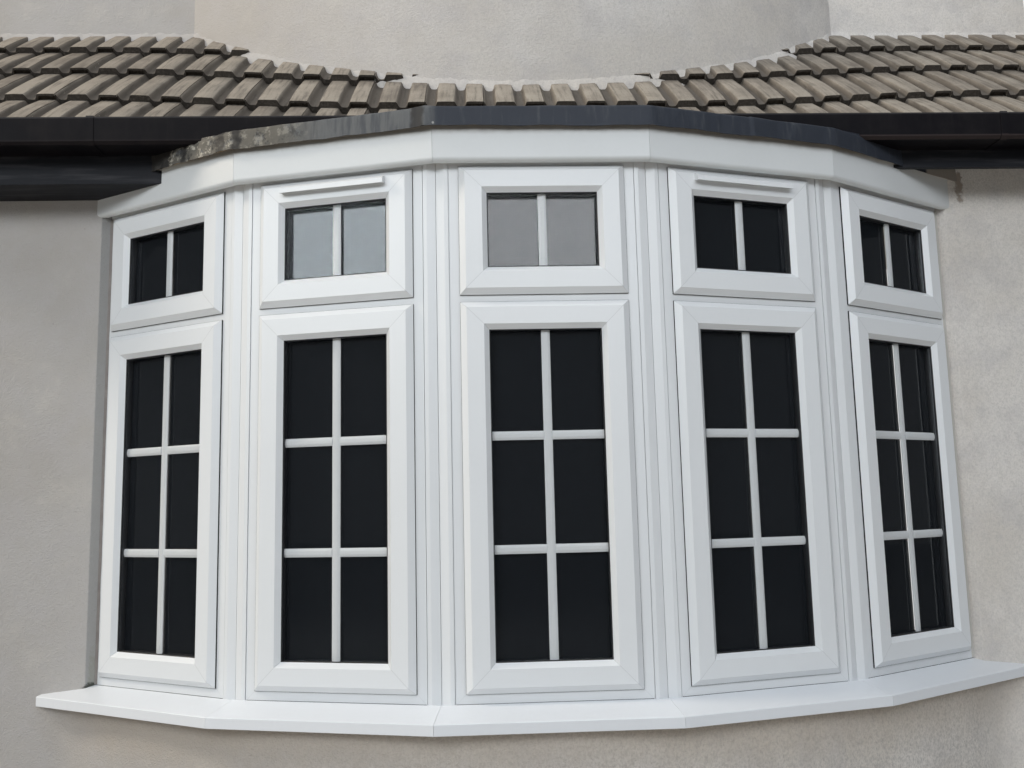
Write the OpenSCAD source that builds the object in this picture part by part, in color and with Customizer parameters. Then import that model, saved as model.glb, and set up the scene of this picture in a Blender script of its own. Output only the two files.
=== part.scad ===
// Bow-fronted bay window with five lights, its rendered surround, its lead roof and the
// tiled roof and upper wall over it.
// Millimetres, +Z up, front towards -Y, origin under the middle of the whole part.

/* [Bow] */
// Length of one straight side of the bow, corner to corner at the outer glass face
light_pitch = 600; // [560:5:640]
// Angle turned at each corner between two lights
turn = 15.45; // [14:0.05:16.5]

/* [Heights] */
// Ground to the top of the low curved wall, where the sill lies
wall_top = 945; // [600:5:1000]
// Height of the window frames
frame_h = 1491; // [1300:1:1700]
// Middle of the bar between fanlight and casement, above the foot of the frame
transom_up = 1083; // [900:1:1200]
// Ground to the upper floor, which is also the top of the wall over the opening
wall_h = 2710; // [2700:5:2730]

/* [Frames and sashes] */
// Face of the outer frame that shows beside a sash
frame_face = 28; // [22:1:34]
// Depth of the outer frame from outside to inside
frame_depth = 70; // [60:1:70]
// Width of a sash from its outer edge to the glass
sash_w = 78; // [70:1:84]
// How far the face of a sash stands out from the glass
sash_proud = 16; // [12:1:18]
// Face of the bar that shows between the fanlight and the casement
transom_face = 20; // [16:1:28]
// Extra length of the two end lights, hidden in part by the reveals
end_extra = 18; // [10:1:24]
// Corner of the bow to the nearest frame edge
post_face = 38.5; // [32:0.5:42]

/* [Sill and head] */
// How far the sill stands out from the glass
sill_out = 110; // [95:1:125]
// Height of the front edge of the sill
nosing_h = 29; // [24:1:34]
// How far each end of the sill reaches past the last corner of the bow
horn_reach = 690; // [670:1:700]
// Face of the head boards, out from the glass
fascia_out = 35.3; // [30:0.1:40]
// Slope of the lead roof
roof_slope = 3; // [2:0.5:4]
// Rise of the lead roof's edge along the two end sides, towards the house, in degrees
edge_rise = 4.3; // [0:0.1:6]

/* [Masonry] */
// Thickness of the walls with their render
wall_t = 280; // [240:5:320]
// Front face of the house wall, behind the glass of the middle light
wall_face = 435; // [425:1:440]
// Half the length of the whole surround
half_length = 2110; // [1900:10:2200]
// How far the low curved wall stands out from the glass
curve_out = 65; // [55:1:80]
// Radius of the hollow where the curved wall meets the flat wall
curve_fillet = 150; // [100:5:180]

/* [Upper wall and tiled roof] */
// Height of the whole part, where the upper wall ends
total_h = 3550; // [3450:10:3600]
// Flat face of the upper wall, behind the glass of the middle light
upper_face = 1000; // [960:5:1040]
// Front of the upper curved wall, behind the glass of the middle light
upper_curve_in = 505; // [480:5:540]
// Radius of the upper curved wall
upper_curve_r = 1922; // [1860:2:1980]
// Pitch of the tiled roof
tile_pitch = 41.7; // [40:0.1:43]
// Lower edge of the tiles, behind the glass of the middle light
tile_edge_in = 222; // [210:2:235]
// Upper face of the tiles at that edge
tile_edge_z = 2698; // [2690:1:2710]
// Lower edge of the eaves board to the left of the bow
board_left = 2518; // [2500:1:2540]
// Lower edge of the eaves board to the right of the bow
board_right = 2550; // [2530:1:2560]
// Underside of the eaves to the left of the bow
soffit_left = 2518; // [2500:1:2540]
// Underside of the eaves to the right of the bow
soffit_right = 2612; // [2600:1:2625]

/* [Hidden] */
PLACES = ["far_left", "left", "centre", "right", "far_right"];
POSTS = ["outer_left", "inner_left", "inner_right", "outer_right"];

// Plan of the bow: the glass faces touch a circle of radius bow_r
bow_r = light_pitch / 2 / tan(turn / 2);
back_y = wall_face + wall_t;
upper_back = upper_face + wall_t;
mid_y = (upper_back - sill_out) / 2;
curve_r = bow_r + curve_out;

// Levels
frame_foot = wall_top + 49;
frame_head = frame_foot + frame_h;
transom_z = frame_foot + transom_up;

// Depths are measured out from the glass face, so inside the room they are negative
frame_front = -4;
frame_back = frame_front - frame_depth;
sash_back = -50;
glass_t = 28;
pane_t = 4;
rebate = 12;
leg_w = frame_face + 4;
stop_w = frame_face + 30;
sash_gap = 12;
outer_chamfer = 17;
inner_chamfer = 14;
frame_reach = light_pitch / 2 - post_face;
end_reach = frame_reach + end_extra;

// Ends of the light i along its own side of the bow, from the middle of that side
function low_end(i) = i == 0 ? -end_reach : -frame_reach;
function high_end(i) = i == 4 ? end_reach : frame_reach;

// A corner of the bow, s sides from the middle, on the glass line pushed out by d
function corner_at(s, d = 0) = let (r = (bow_r + d) / cos(turn / 2))
    [r * sin(s * turn), bow_r - r * cos(s * turn)];

// A point on side i of the bow: along it by x, out from the glass by d
function on_side(i, x, d) = let (a = (i - 2) * turn)
    [x * cos(a) + (bow_r + d) * sin(a), bow_r + x * sin(a) - (bow_r + d) * cos(a)];

// From the bow's own axes to the part's axes
module in_part() {
    translate([0, -mid_y, 0]) children();
}

// Draws in the axes of side i: x along it, -y out of it
module on_light(i) {
    in_part() translate([0, bow_r, 0]) rotate([0, 0, (i - 2) * turn]) translate([0, -bow_r, 0]) children();
}

// Turns a flat outline of (out, up) points into a bar along x
module bar(x0, x1) {
    translate([x0, 0, 0]) rotate([90, 0, 90]) linear_extrude(x1 - x0) mirror([1, 0]) children();
}

// The wedge of plan that belongs to side i, less half a joint at each corner
module wedge(i, joint, z0, z1) {
    reach = 900;
    wide = tan(turn / 2);
    low = i == 0 ? 2 * wide : wide;
    high = i == 4 ? 2 * wide : wide;
    tip = bow_r - joint / 2 / sin(turn / 2);
    translate([0, 0, z0]) linear_extrude(z1 - z0)
        polygon([[0, tip], [-(tip + reach) * low, -reach], [(tip + reach) * high, -reach]]);
}

// Four mitred rails round the rectangle x0..x1, z0..z1; the outline is (inset, out) points
module mitred_ring(x0, x1, z0, z1, outline, deep) {
    w = x1 - x0;
    h = z1 - z0;
    translate([x0, 0, z0]) {
        mitred_rail(w, outline, deep);
        translate([w, 0, 0]) rotate([0, -90, 0]) mitred_rail(h, outline, deep);
        translate([w, 0, h]) rotate([0, 180, 0]) mitred_rail(w, outline, deep);
        translate([0, 0, h]) rotate([0, 90, 0]) mitred_rail(h, outline, deep);
    }
}

// One rail along x with its ends cut at 45 degrees
module mitred_rail(length, outline, deep) {
    intersection() {
        rotate([90, 0, 90]) linear_extrude(length) polygon([for (p = outline) [-p[1], p[0]]]);
        translate([0, 150, 0]) rotate([90, 0, 0]) linear_extrude(300)
            polygon([[0, 0], [length, 0], [length - deep, deep], [deep, deep]]);
    }
}

// Outlines as (inset from the outer edge, out from the glass)
FRAME_OUTLINE = [[0, frame_back], [stop_w - 3, frame_back], [stop_w, frame_back + 3], [stop_w, sash_back],
    [leg_w, sash_back], [leg_w, frame_front], [0, frame_front]];
SASH_OUTLINE = [[0, -2], [0, 1], [outer_chamfer, sash_proud], [sash_w - inner_chamfer, sash_proud],
    [sash_w, 2], [sash_w, 0], [sash_w - rebate, 0], [sash_w - rebate, -glass_t], [sash_w, -glass_t],
    [sash_w, -glass_t - 4], [sash_w - 12, sash_back], [sash_gap, sash_back], [sash_gap, -2]];

module transom_outline() {
    web = transom_face / 2 + 4;
    flange = transom_face / 2 + 30;
    translate([-frame_front, -web]) square([frame_front - sash_back, 2 * web]);
    translate([-sash_back, -flange]) square([sash_back - frame_back, 2 * flange]);
}

module outer_frame(i) {
    color("white") on_light(i) {
        mitred_ring(low_end(i), high_end(i), frame_foot, frame_head, FRAME_OUTLINE, stop_w);
        translate([low_end(i) + leg_w, 0, transom_z]) rotate([90, 0, 90])
            linear_extrude(high_end(i) - low_end(i) - 2 * leg_w) transom_outline();
    }
}

module sash(i, z0, z1) {
    color("white") on_light(i)
        mitred_ring(low_end(i) + frame_face, high_end(i) - frame_face, z0, z1, SASH_OUTLINE, sash_w);
}

casement_z = [frame_foot + frame_face, transom_z - transom_face / 2];
fanlight_z = [transom_z + transom_face / 2, frame_head - frame_face];

module fanlight_sash(i) {
    sash(i, fanlight_z[0], fanlight_z[1]);
}

module casement_sash(i) {
    sash(i, casement_z[0], casement_z[1]);
}

// The two panes of a sealed unit, standing on the floor of the sash rebate
module panes(i, span) {
    in = frame_face + sash_w - rebate;
    x0 = low_end(i) + in + 1;
    x1 = high_end(i) - in - 1;
    z0 = span[0] + sash_w - rebate;
    z1 = span[1] - sash_w + rebate - 1;
    for (y = [0, glass_t - pane_t])
        translate([x0, y, z0]) cube([x1 - x0, pane_t, z1 - z0]);
}

module glazing(i) {
    color("lightcyan", 0.4) on_light(i) {
        panes(i, fanlight_z);
        panes(i, casement_z);
    }
}

// Half of a corner cover on the high end of a side: a flat strip, then a slope back to the joint
module post_half(i, side) {
    on_light(i) mirror([side, 0, 0]) intersection() {
        translate([light_pitch / 2, 0, frame_foot]) linear_extrude(frame_h)
            polygon([[-post_face + 0.4, -frame_back], [-post_face + 0.4, 8], [-post_face + 2.2, 8],
                [-post_face + 2.2, 2.5], [-25, 2.5], [20, 22], [20, -frame_back]]);
        wedge(2, 1.2, frame_foot, frame_head);
    }
}

pole_r = 18;
pole_wall = 3;
pole_depth = 46;
pole_play = 0.4;

// Round bar of radius r where the pole stands between sides k and k + 1
module pole_bar(k, r, over = 0) {
    out = bow_r / cos(turn / 2) - pole_depth;
    in_part() translate([0, bow_r, frame_foot - over]) rotate([0, 0, (k - 1.5) * turn]) translate([0, -out, 0])
        cylinder(r = r, h = frame_h + 2 * over, $fn = 48);
}

// Pole and two clip-on covers at the corner between sides k and k + 1
module bay_post(k) {
    color("white") {
        difference() {
            union() {
                post_half(k, 0);
                post_half(k + 1, 1);
            }
            pole_bar(k, pole_r + pole_play, 1);
        }
        difference() {
            pole_bar(k, pole_r);
            pole_bar(k, pole_r - pole_wall, 1);
        }
    }
}

// Plan of the right wall pier; it laps the end frame and its inner side is splayed
reveal_x = 1391;
reveal_round = 9;
inner_reveal_x = 1388;
lap = on_side(4, end_reach - 8, frame_front + 3);
splay = atan2(lap[1] - wall_face, lap[0] - reveal_x);
function pier_points() = concat(
    [[half_length, wall_face], [half_length, back_y], [inner_reveal_x, back_y],
        on_side(4, end_reach + 0.6, frame_back), on_side(4, end_reach + 0.6, frame_front),
        on_side(4, end_reach - 8, frame_front + 0.4), lap],
    rounded_corner([reveal_x, wall_face], splay, 0, reveal_round));

// Points of an arc in place of a corner, between the directions a and b that lead away from it
function rounded_corner(corner, a, b, r) =
    let (mid = (a + b) / 2, centre = corner + r / sin((a - b) / 2) * [cos(mid), sin(mid)])
    [for (t = [0:0.25:1]) centre + r * [cos(a + 90 + t * (180 - a + b)), sin(a + 90 + t * (180 - a + b))]];

module wall_pier(side) {
    color("antiquewhite") in_part() mirror([side, 0, 0]) linear_extrude(frame_head) polygon(pier_points());
}

module wall_head() {
    color("antiquewhite") in_part() translate([-half_length, wall_face, frame_head])
        cube([2 * half_length, wall_t, wall_h - frame_head]);
}

// Plan of the low wall: a curved band that runs into the flat wall with a hollow
module curved_wall_plan() {
    flat_y = wall_face - curve_fillet;
    flat_x = sqrt(pow(curve_r + curve_fillet, 2) - pow(bow_r - flat_y, 2));
    share = curve_r / (curve_r + curve_fillet);
    touch = [flat_x * share, bow_r - (bow_r - flat_y) * share];
    inner_r = curve_r - wall_t;
    difference() {
        union() {
            intersection() {
                translate([0, bow_r]) circle(r = curve_r, $fn = 360);
                translate([-half_length, -200]) square([2 * half_length, 200 + back_y]);
            }
            for (s = [-1, 1])
                difference() {
                    polygon([[s * 1340, back_y], [s * touch[0], touch[1]], [s * flat_x, flat_y],
                        [s * flat_x, wall_face], [s * 1400, back_y]]);
                    translate([s * flat_x, flat_y]) circle(r = curve_fillet, $fn = 96);
                }
        }
        translate([0, bow_r]) circle(r = inner_r, $fn = 360);
        for (s = [0, 1])
            mirror([s, 0]) polygon(pier_points());
    }
}

sill_back = -78;

// The wall is higher behind the sill, where the inner board lies
module dwarf_wall(i) {
    color("antiquewhite") intersection() {
        union() {
            in_part() linear_extrude(wall_top) curved_wall_plan();
            intersection() {
                in_part() linear_extrude(frame_foot - 1) curved_wall_plan();
                on_light(i) translate([-900, -sill_back + 0.5, 0]) cube([1800, 600, frame_foot]);
            }
        }
        on_light(i) wedge(i, 0, 0, frame_foot);
    }
}

// Sill outline as (out, up) points, with a drip groove under the nosing
module sill_outline() {
    edge = wall_top + nosing_h;
    polygon([[sill_out, wall_top + 1], [sill_out, edge - 2], [sill_out - 2, edge],
        [frame_front + 2, frame_foot + 2], [frame_front, frame_foot], [sill_back, frame_foot],
        [sill_back, wall_top], [sill_out - 22, wall_top], [sill_out - 22, wall_top + 4],
        [sill_out - 16, wall_top + 4], [sill_out - 16, wall_top], [sill_out - 1, wall_top]]);
}

module sill(i) {
    low = i == 0 ? light_pitch / 2 - horn_reach : -light_pitch;
    high = i == 4 ? horn_reach - light_pitch / 2 : light_pitch;
    color("white") difference() {
        on_light(i) intersection() {
            bar(low, high) sill_outline();
            wedge(i, 0.8, wall_top - 1, frame_foot + 5);
        }
        for (s = [0, 1])
            in_part() mirror([s, 0, 0]) translate([0, 0, wall_top - 5]) linear_extrude(100) polygon(pier_points());
    }
}

fascia_t = 18;
fascia_round = 12;
fascia_foot = frame_head - frame_face + 3;
deck_edge = frame_head + 122;
deck_out = 46;

// Board outline as (out, up), with its lower front edge rounded
module fascia_outline() {
    back = fascia_out - fascia_t;
    translate([back, fascia_foot + fascia_round]) square([fascia_t, wall_h - fascia_foot - fascia_round]);
    translate([back, fascia_foot]) square([fascia_t - fascia_round, fascia_round]);
    translate([fascia_out - fascia_round, fascia_foot + fascia_round]) circle(r = fascia_round, $fn = 48);
}

module fascia() {
    color("white") intersection() {
        for (i = [0:4])
            on_light(i) intersection() {
                bar(-900, 900) fascia_outline();
                wedge(i, 0.8, fascia_foot - 5, wall_h);
            }
        under_slopes(fascia_out, -18, fascia_foot);
        front_of_wall(frame_foot, wall_h);
    }
}

// Everything in front of the flat wall face
module front_of_wall(z0, z1) {
    in_part() translate([-1500, -300, z0]) cube([3000, 300 + wall_face, z1 - z0]);
}

// Under five planes that rise inwards from the edge of the roof, each over its own side; on the
// end sides the edge rises too, and the planes still meet over the mitres
module under_slopes(out, lift, z0) {
    along = tan(edge_rise);
    inward = tan(roof_slope) - along * tan(turn / 2);
    corner_x = (bow_r + out) * tan(turn / 2);
    for (i = [0:4]) {
        side = i == 0 ? 1 : i == 4 ? -1 : 0;
        on_light(i) intersection() {
            wedge(i, 0, z0, wall_h);
            bar(-900, 900) translate([out - 900, z0]) square([900, wall_h - z0]);
            translate([side * corner_x, -out, deck_edge + lift])
                rotate([0, 0, side * atan2(along, inward)])
                rotate([side == 0 ? roof_slope : atan(norm([along, inward])), 0, 0])
                translate([-1300, -1300, -300]) cube([2600, 2600, 300]);
        }
    }
}

module roof_timber() {
    color("burlywood") intersection() {
        union() {
            under_slopes(fascia_out - fascia_t, -0.01, frame_head);
            intersection() {
                under_slopes(deck_out, 0, deck_edge - 40);
                difference() {
                    front_of_wall(deck_edge - 40, wall_h);
                    under_slopes(fascia_out, -18, frame_head);
                }
            }
        }
        front_of_wall(frame_head, wall_h);
    }
}

lead_t = 3;
upstand = 45;

// Lead over the slopes, turned down over the front edge and up against the wall
module lead_roof() {
    color("dimgray") intersection() {
        difference() {
            union() {
                under_slopes(deck_out + lead_t, lead_t, deck_edge - 47);
                intersection() {
                    under_slopes(deck_out + lead_t, lead_t + upstand, deck_edge - 47);
                    in_part() translate([-1500, wall_face - lead_t, frame_head]) cube([3000, 50, wall_h - frame_head]);
                }
            }
            under_slopes(deck_out, 0, deck_edge - 60);
            under_slopes(deck_out + 2 * lead_t, -47, deck_edge - 60);
        }
        front_of_wall(frame_head, wall_h);
    }
}

// Board under the roof and the wall over the opening, seen from the room
module bay_ceiling() {
    color("white") in_part() translate([0, 0, frame_head - ceiling_t]) linear_extrude(ceiling_t)
        polygon(concat([on_side(0, -end_reach + 1, frame_back - 1)],
            [for (s = [-1.5:1:1.5]) corner_at(s, frame_back - 1)],
            [on_side(4, end_reach - 1, frame_back - 1), [1387, back_y], [-1387, back_y]]));
}

board_t = 22;
board_in = frame_back - 1 - 170;

module window_board() {
    color("white") for (i = [0:4])
        intersection() {
            on_light(i) intersection() {
                bar(-900, 900) board_outline();
                wedge(i, 0.8, frame_foot - 5, frame_foot + 50);
            }
            in_part() translate([-1330, 0, 0]) cube([2660, back_y - 60, wall_h]);
        }
}

// Board outline as (out, up), rounded on the room side
module board_outline() {
    foot = frame_foot - 1;
    translate([board_in, foot]) square([frame_back - 1 - board_in, board_t]);
    translate([board_in, foot + board_t / 2]) circle(d = board_t, $fn = 32);
}

vent_l = 315;
vent_foot = fanlight_z[1] - 42;

// Hood over the slots outside, and the slim cover inside
module trickle_vent(i) {
    wall = 2.5;
    color("white") on_light(i) {
        difference() {
            bar(-vent_l / 2, vent_l / 2) polygon([[sash_proud, vent_foot + 4], [sash_proud, vent_foot + 24],
                [sash_proud + 6, vent_foot + 24], [sash_proud + 20, vent_foot + 14], [sash_proud + 20, vent_foot],
                [sash_proud + 17, vent_foot]]);
            bar(-vent_l / 2 + 3, vent_l / 2 - 3) polygon([[sash_proud + wall, vent_foot - 1],
                [sash_proud + wall, vent_foot + 24 - wall], [sash_proud + 5, vent_foot + 24 - wall],
                [sash_proud + 20 - wall, vent_foot + 13], [sash_proud + 20 - wall, vent_foot - 1]]);
        }
        bar(-vent_l / 2, vent_l / 2) polygon([[sash_back, vent_foot], [sash_back, vent_foot + 22],
            [sash_back - 8, vent_foot + 22], [sash_back - 14, vent_foot + 16], [sash_back - 14, vent_foot + 4],
            [sash_back - 10, vent_foot]]);
    }
}

// Lever handle on a long rose plate, drawn with the lever pointing down from the origin
module lever_handle() {
    rotate([-90, 0, 0]) {
        linear_extrude(8) rounded_bar(13, 13, -22, 22);
        cylinder(r = 9, h = 24, $fn = 32);
        translate([0, 0, 23]) linear_extrude(10) rounded_bar(10, 7, 0, 105);
    }
}

// Outline with a round end of radius r0 at y0 and one of radius r1 at y1
module rounded_bar(r0, r1, y0, y1) {
    translate([0, y0]) circle(r = r0, $fn = 32);
    translate([0, y1]) circle(r = r1, $fn = 32);
    polygon([[-r0, y0], [r0, y0], [r1, y1], [-r1, y1]]);
}

// One lever on each casement stile and one on each fanlight rail, on the room side
module window_handles() {
    color("gainsboro") for (i = [0:4])
        on_light(i) {
            side = i < 2 ? 1 : -1;
            x = side > 0 ? high_end(i) - frame_face - sash_w / 2 : low_end(i) + frame_face + sash_w / 2;
            translate([x, -sash_back, (casement_z[0] + casement_z[1]) / 2]) lever_handle();
            translate([(low_end(i) + high_end(i)) / 2, -sash_back, fanlight_z[0] + sash_w / 2])
                rotate([0, 90, 0]) lever_handle();
        }
}

// Space that the bow's own roof takes, with its head boards and its lead
module bow_roof_space() {
    play = 0.5;
    under_slopes(fascia_out + play, -17, fascia_foot - 100);
    under_slopes(deck_out + lead_t + play, lead_t + play, deck_edge - 48);
}

tile_t = 40;
batten_t = 25;
batten_w = 38;
gauge = 302;
rafter_w = 50;
rafter_h = 85;
rafter_pitch = 395;
slope_length = (upper_face - tile_edge_in) / cos(tile_pitch) + 60;
board_y = 282;
eaves_t = 18;

// Draws on the slope of the tiles: +y up the slope from the eaves, z = 0 at the upper face
module on_slope() {
    in_part() translate([0, tile_edge_in, tile_edge_z]) rotate([tile_pitch, 0, 0]) children();
}

// The upper curved wall as a full round body of radius r
module upper_round(r, z0, z1) {
    in_part() translate([0, upper_curve_in + upper_curve_r, z0]) cylinder(r = r, h = z1 - z0, $fn = 360);
}

// Block over the whole length, from depth y0 on and from level z0 to z1
module behind(y0, deep, z0, z1) {
    in_part() translate([-half_length - 50, y0, z0]) cube([2 * half_length + 100, deep, z1 - z0]);
}

// Keeps what lies on the slope clear of the upper walls and of the bow's roof
module clear_of_house() {
    difference() {
        children();
        upper_round(upper_curve_r + 1, wall_h - 200, total_h);
        behind(upper_face - 0.5, 600, wall_h - 200, total_h);
        behind(wall_face - 0.5, wall_t + 1, frame_foot, wall_h + 0.5);
        bow_roof_space();
    }
}

module tiled_roof() {
    color("dimgray") clear_of_house()
        on_slope() translate([-half_length, 0, -tile_t]) cube([2 * half_length, slope_length, tile_t]);
}

// Battens under each course of tiles, on rafters that stand on the wall and end behind the eaves board
module roof_frame() {
    under = tile_t + 0.2;
    color("burlywood") clear_of_house() {
        for (k = [0:3])
            on_slope() translate([-half_length, (k + 0.3) * gauge, -under - batten_t])
                cube([2 * half_length, batten_w, batten_t]);
        intersection() {
            for (k = [-5:5])
                on_slope() translate([k * rafter_pitch - rafter_w / 2, 0, -under - batten_t - 0.3 - rafter_h])
                    cube([rafter_w, slope_length, rafter_h]);
            behind(board_y + eaves_t + 0.5, 1200, frame_foot, total_h);
        }
    }
}

// Board behind the gutter with its flat soffit, scribed round the bow's roof
module eaves(side, foot, soffit) {
    top = tile_edge_z + (board_y - tile_edge_in) * tan(tile_pitch) - tile_t / cos(tile_pitch) - 3;
    color("black") difference() {
        in_part() mirror([side, 0, 0]) {
            translate([0.2, board_y, foot]) cube([half_length - 0.2, eaves_t, top - foot]);
            translate([0.2, board_y, soffit]) cube([half_length - 0.2, wall_face - 0.5 - board_y, 10]);
        }
        bow_roof_space();
    }
}

gutter_in = 172;
gutter_rim = 2686;
gutter_foot = 2604;

// Deep square gutter; its floor opens on to the lead over the bow
module gutter() {
    wall = 3;
    play = 0.3;
    back = board_y - 1;
    front_lip = [[gutter_in, gutter_rim], [gutter_in + 4, gutter_foot + 8], [gutter_in + 14, gutter_foot],
        [gutter_in + 15, gutter_foot + wall], [gutter_in + 4 + wall, gutter_foot + 9],
        [gutter_in + 4 + wall, gutter_rim - 9], [gutter_in + 9, gutter_rim - 6], [gutter_in + 9, gutter_rim]];
    floor_strip = [[gutter_in + 14 + play, gutter_foot], [back - 8 - play, gutter_foot],
        [back - 9 - play, gutter_foot + wall], [gutter_in + 15 + play, gutter_foot + wall]];
    back_lip = [[back - 8, gutter_foot], [back, gutter_foot + 8], [back, gutter_rim + 2],
        [back - wall, gutter_rim + 2], [back - wall, gutter_foot + 9], [back - 9, gutter_foot + wall]];
    color("black") difference() {
        in_part() translate([-half_length, 0, 0]) rotate([90, 0, 90])
            for (outline = [front_lip, floor_strip, back_lip])
                linear_extrude(2 * half_length) polygon(outline);
        bow_roof_space();
        on_slope() translate([-half_length - 50, -1, -tile_t - 0.5]) cube([2 * half_length + 100, 400, 100]);
    }
}

module upper_wall(side) {
    color("antiquewhite") difference() {
        in_part() mirror([side, 0, 0]) translate([1100, upper_face, wall_h])
            cube([half_length - 1100, wall_t, total_h - wall_h]);
        upper_round(upper_curve_r, wall_h - 1, total_h + 1);
    }
}

// Segment k of the upper curved wall, -1 left to 1 right
module upper_bow(k) {
    part_angle = 28;
    reach = 3000;
    color("antiquewhite") intersection() {
        difference() {
            upper_round(upper_curve_r, wall_h, total_h);
            upper_round(upper_curve_r - wall_t, wall_h - 1, total_h + 1);
        }
        in_part() translate([-half_length, upper_curve_in - 10, wall_h])
            cube([2 * half_length, upper_back - upper_curve_in + 10, total_h - wall_h]);
        in_part() translate([0, upper_curve_in + upper_curve_r, wall_h]) linear_extrude(total_h - wall_h)
            polygon([[0, 0], for (s = [-0.5, 0, 0.5])
                reach * [sin((k + s) * part_angle), -cos((k + s) * part_angle)]]);
    }
}

ceiling_t = 12;
floor_board_t = 22;
joist_w = 50;

// Joists that run back from the wall over the opening, with the upper floor's boards on them
module floor_deck() {
    joist_h = wall_h - floor_board_t - 0.3 - frame_head;
    color("burlywood") in_part() {
        for (k = [-5:5])
            translate([k * rafter_pitch - joist_w / 2, back_y, frame_head])
                cube([joist_w, upper_back - back_y, joist_h]);
        translate([-half_length, back_y, wall_h - floor_board_t])
            cube([2 * half_length, upper_back - back_y, floor_board_t]);
    }
}

module room_ceiling() {
    color("white") in_part() translate([-half_length, back_y, frame_head - ceiling_t])
        cube([2 * half_length, upper_back - back_y, ceiling_t]);
}

for (i = [0:4]) {
    outer_frame(i);
    fanlight_sash(i);
    casement_sash(i);
    glazing(i);
    sill(i);
    dwarf_wall(i);
}
for (k = [0:3])
    bay_post(k);
wall_pier(1);  // wall_pier_left
wall_pier(0);  // wall_pier_right
wall_head();
trickle_vent(1);  // trickle_vent_left
trickle_vent(3);  // trickle_vent_right
fascia();
roof_timber();
lead_roof();
bay_ceiling();
window_board();
window_handles();
tiled_roof();
roof_frame();
eaves(1, board_left, soffit_left);  // eaves_left
eaves(0, board_right, soffit_right);  // eaves_right
gutter();
upper_wall(1);  // upper_wall_left
upper_wall(0);  // upper_wall_right
upper_bow(-1);  // upper_bow_left
upper_bow(0);  // upper_bow_centre
upper_bow(1);  // upper_bow_right
floor_deck();
room_ceiling();
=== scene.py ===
"""Looks of a bow-fronted bay window under a tiled roof: finishes, bars, seals, tiles, lead and render.

Everything is in metres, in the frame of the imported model: +Z up, front towards -Y.
"""

import logging
import math
import random
from dataclasses import dataclass, field, replace
from enum import Enum
from typing import Iterable, Sequence

import bmesh
import bpy
from mathutils import Matrix, Vector, noise


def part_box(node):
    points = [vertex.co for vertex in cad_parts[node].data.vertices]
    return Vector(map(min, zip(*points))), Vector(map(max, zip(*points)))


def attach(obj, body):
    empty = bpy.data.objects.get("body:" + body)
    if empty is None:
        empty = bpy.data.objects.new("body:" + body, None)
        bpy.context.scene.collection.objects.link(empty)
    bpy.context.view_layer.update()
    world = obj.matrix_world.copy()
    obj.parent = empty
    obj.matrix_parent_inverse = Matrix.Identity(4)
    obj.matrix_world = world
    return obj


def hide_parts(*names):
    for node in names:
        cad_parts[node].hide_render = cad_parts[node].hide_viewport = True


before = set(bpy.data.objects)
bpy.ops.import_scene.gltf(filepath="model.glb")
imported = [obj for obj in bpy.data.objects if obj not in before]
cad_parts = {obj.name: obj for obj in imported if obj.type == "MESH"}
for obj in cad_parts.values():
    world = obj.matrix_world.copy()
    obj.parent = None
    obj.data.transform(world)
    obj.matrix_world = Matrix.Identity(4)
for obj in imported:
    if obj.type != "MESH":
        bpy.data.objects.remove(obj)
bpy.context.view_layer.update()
NODES: dict[str, bpy.types.Object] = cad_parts
log = logging.getLogger("bay_window")

MM = 0.001
ROOF_PITCH = math.radians(41.7)
NO_STRETCH = (1.0, 1.0, 1.0)
WHITE = (1.0, 1.0, 1.0)
MIX_LOW, MIX_HIGH, MIX_RESULT = 6, 7, 2
SPECULAR = "Specular IOR Level"
Triple = tuple[float, float, float]
Colour = Triple
Pair = tuple[float, float]
Outline = Sequence[Pair]
Socket = bpy.types.NodeSocket
Material = bpy.types.Material
Tint = Colour | Socket


def dimmed(colour: Colour, share: float | Colour) -> Colour:
    """A colour times one factor, or times one factor for each channel."""
    shares = share if isinstance(share, tuple) else (share,) * 3
    return tuple(c * k for c, k in zip(colour, shares))


def plan_direction(angle: float) -> Vector:
    """Level direction that points to the front at angle 0 and turns to the right."""
    return Vector((math.sin(angle), -math.cos(angle), 0))


def add_object(name: str, data: bpy.types.ID) -> bpy.types.Object:
    """Puts a new object into the scene.

    Args:
        name: Name of the object.
        data: Its mesh, lamp or camera.

    Returns:
        The object.
    """
    made = bpy.data.objects.new(name, data)
    bpy.context.scene.collection.objects.link(made)
    return made


class Slot(str, Enum):
    """Slots of the record."""

    FRAME = "white_upvc"
    RENDER = "render"
    LEAD = "lead"
    HANDLE = "handle"
    TILE = "roof_tile"
    GUTTER = "gutter_upvc"


class Place(Enum):
    """The five sides of the bow, from left to right as seen from the front."""

    FAR_LEFT = 0
    LEFT = 1
    CENTRE = 2
    RIGHT = 3
    FAR_RIGHT = 4

    @property
    def label(self) -> str:
        """Name as it stands in the nodes' names."""
        return self.name.lower()


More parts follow.
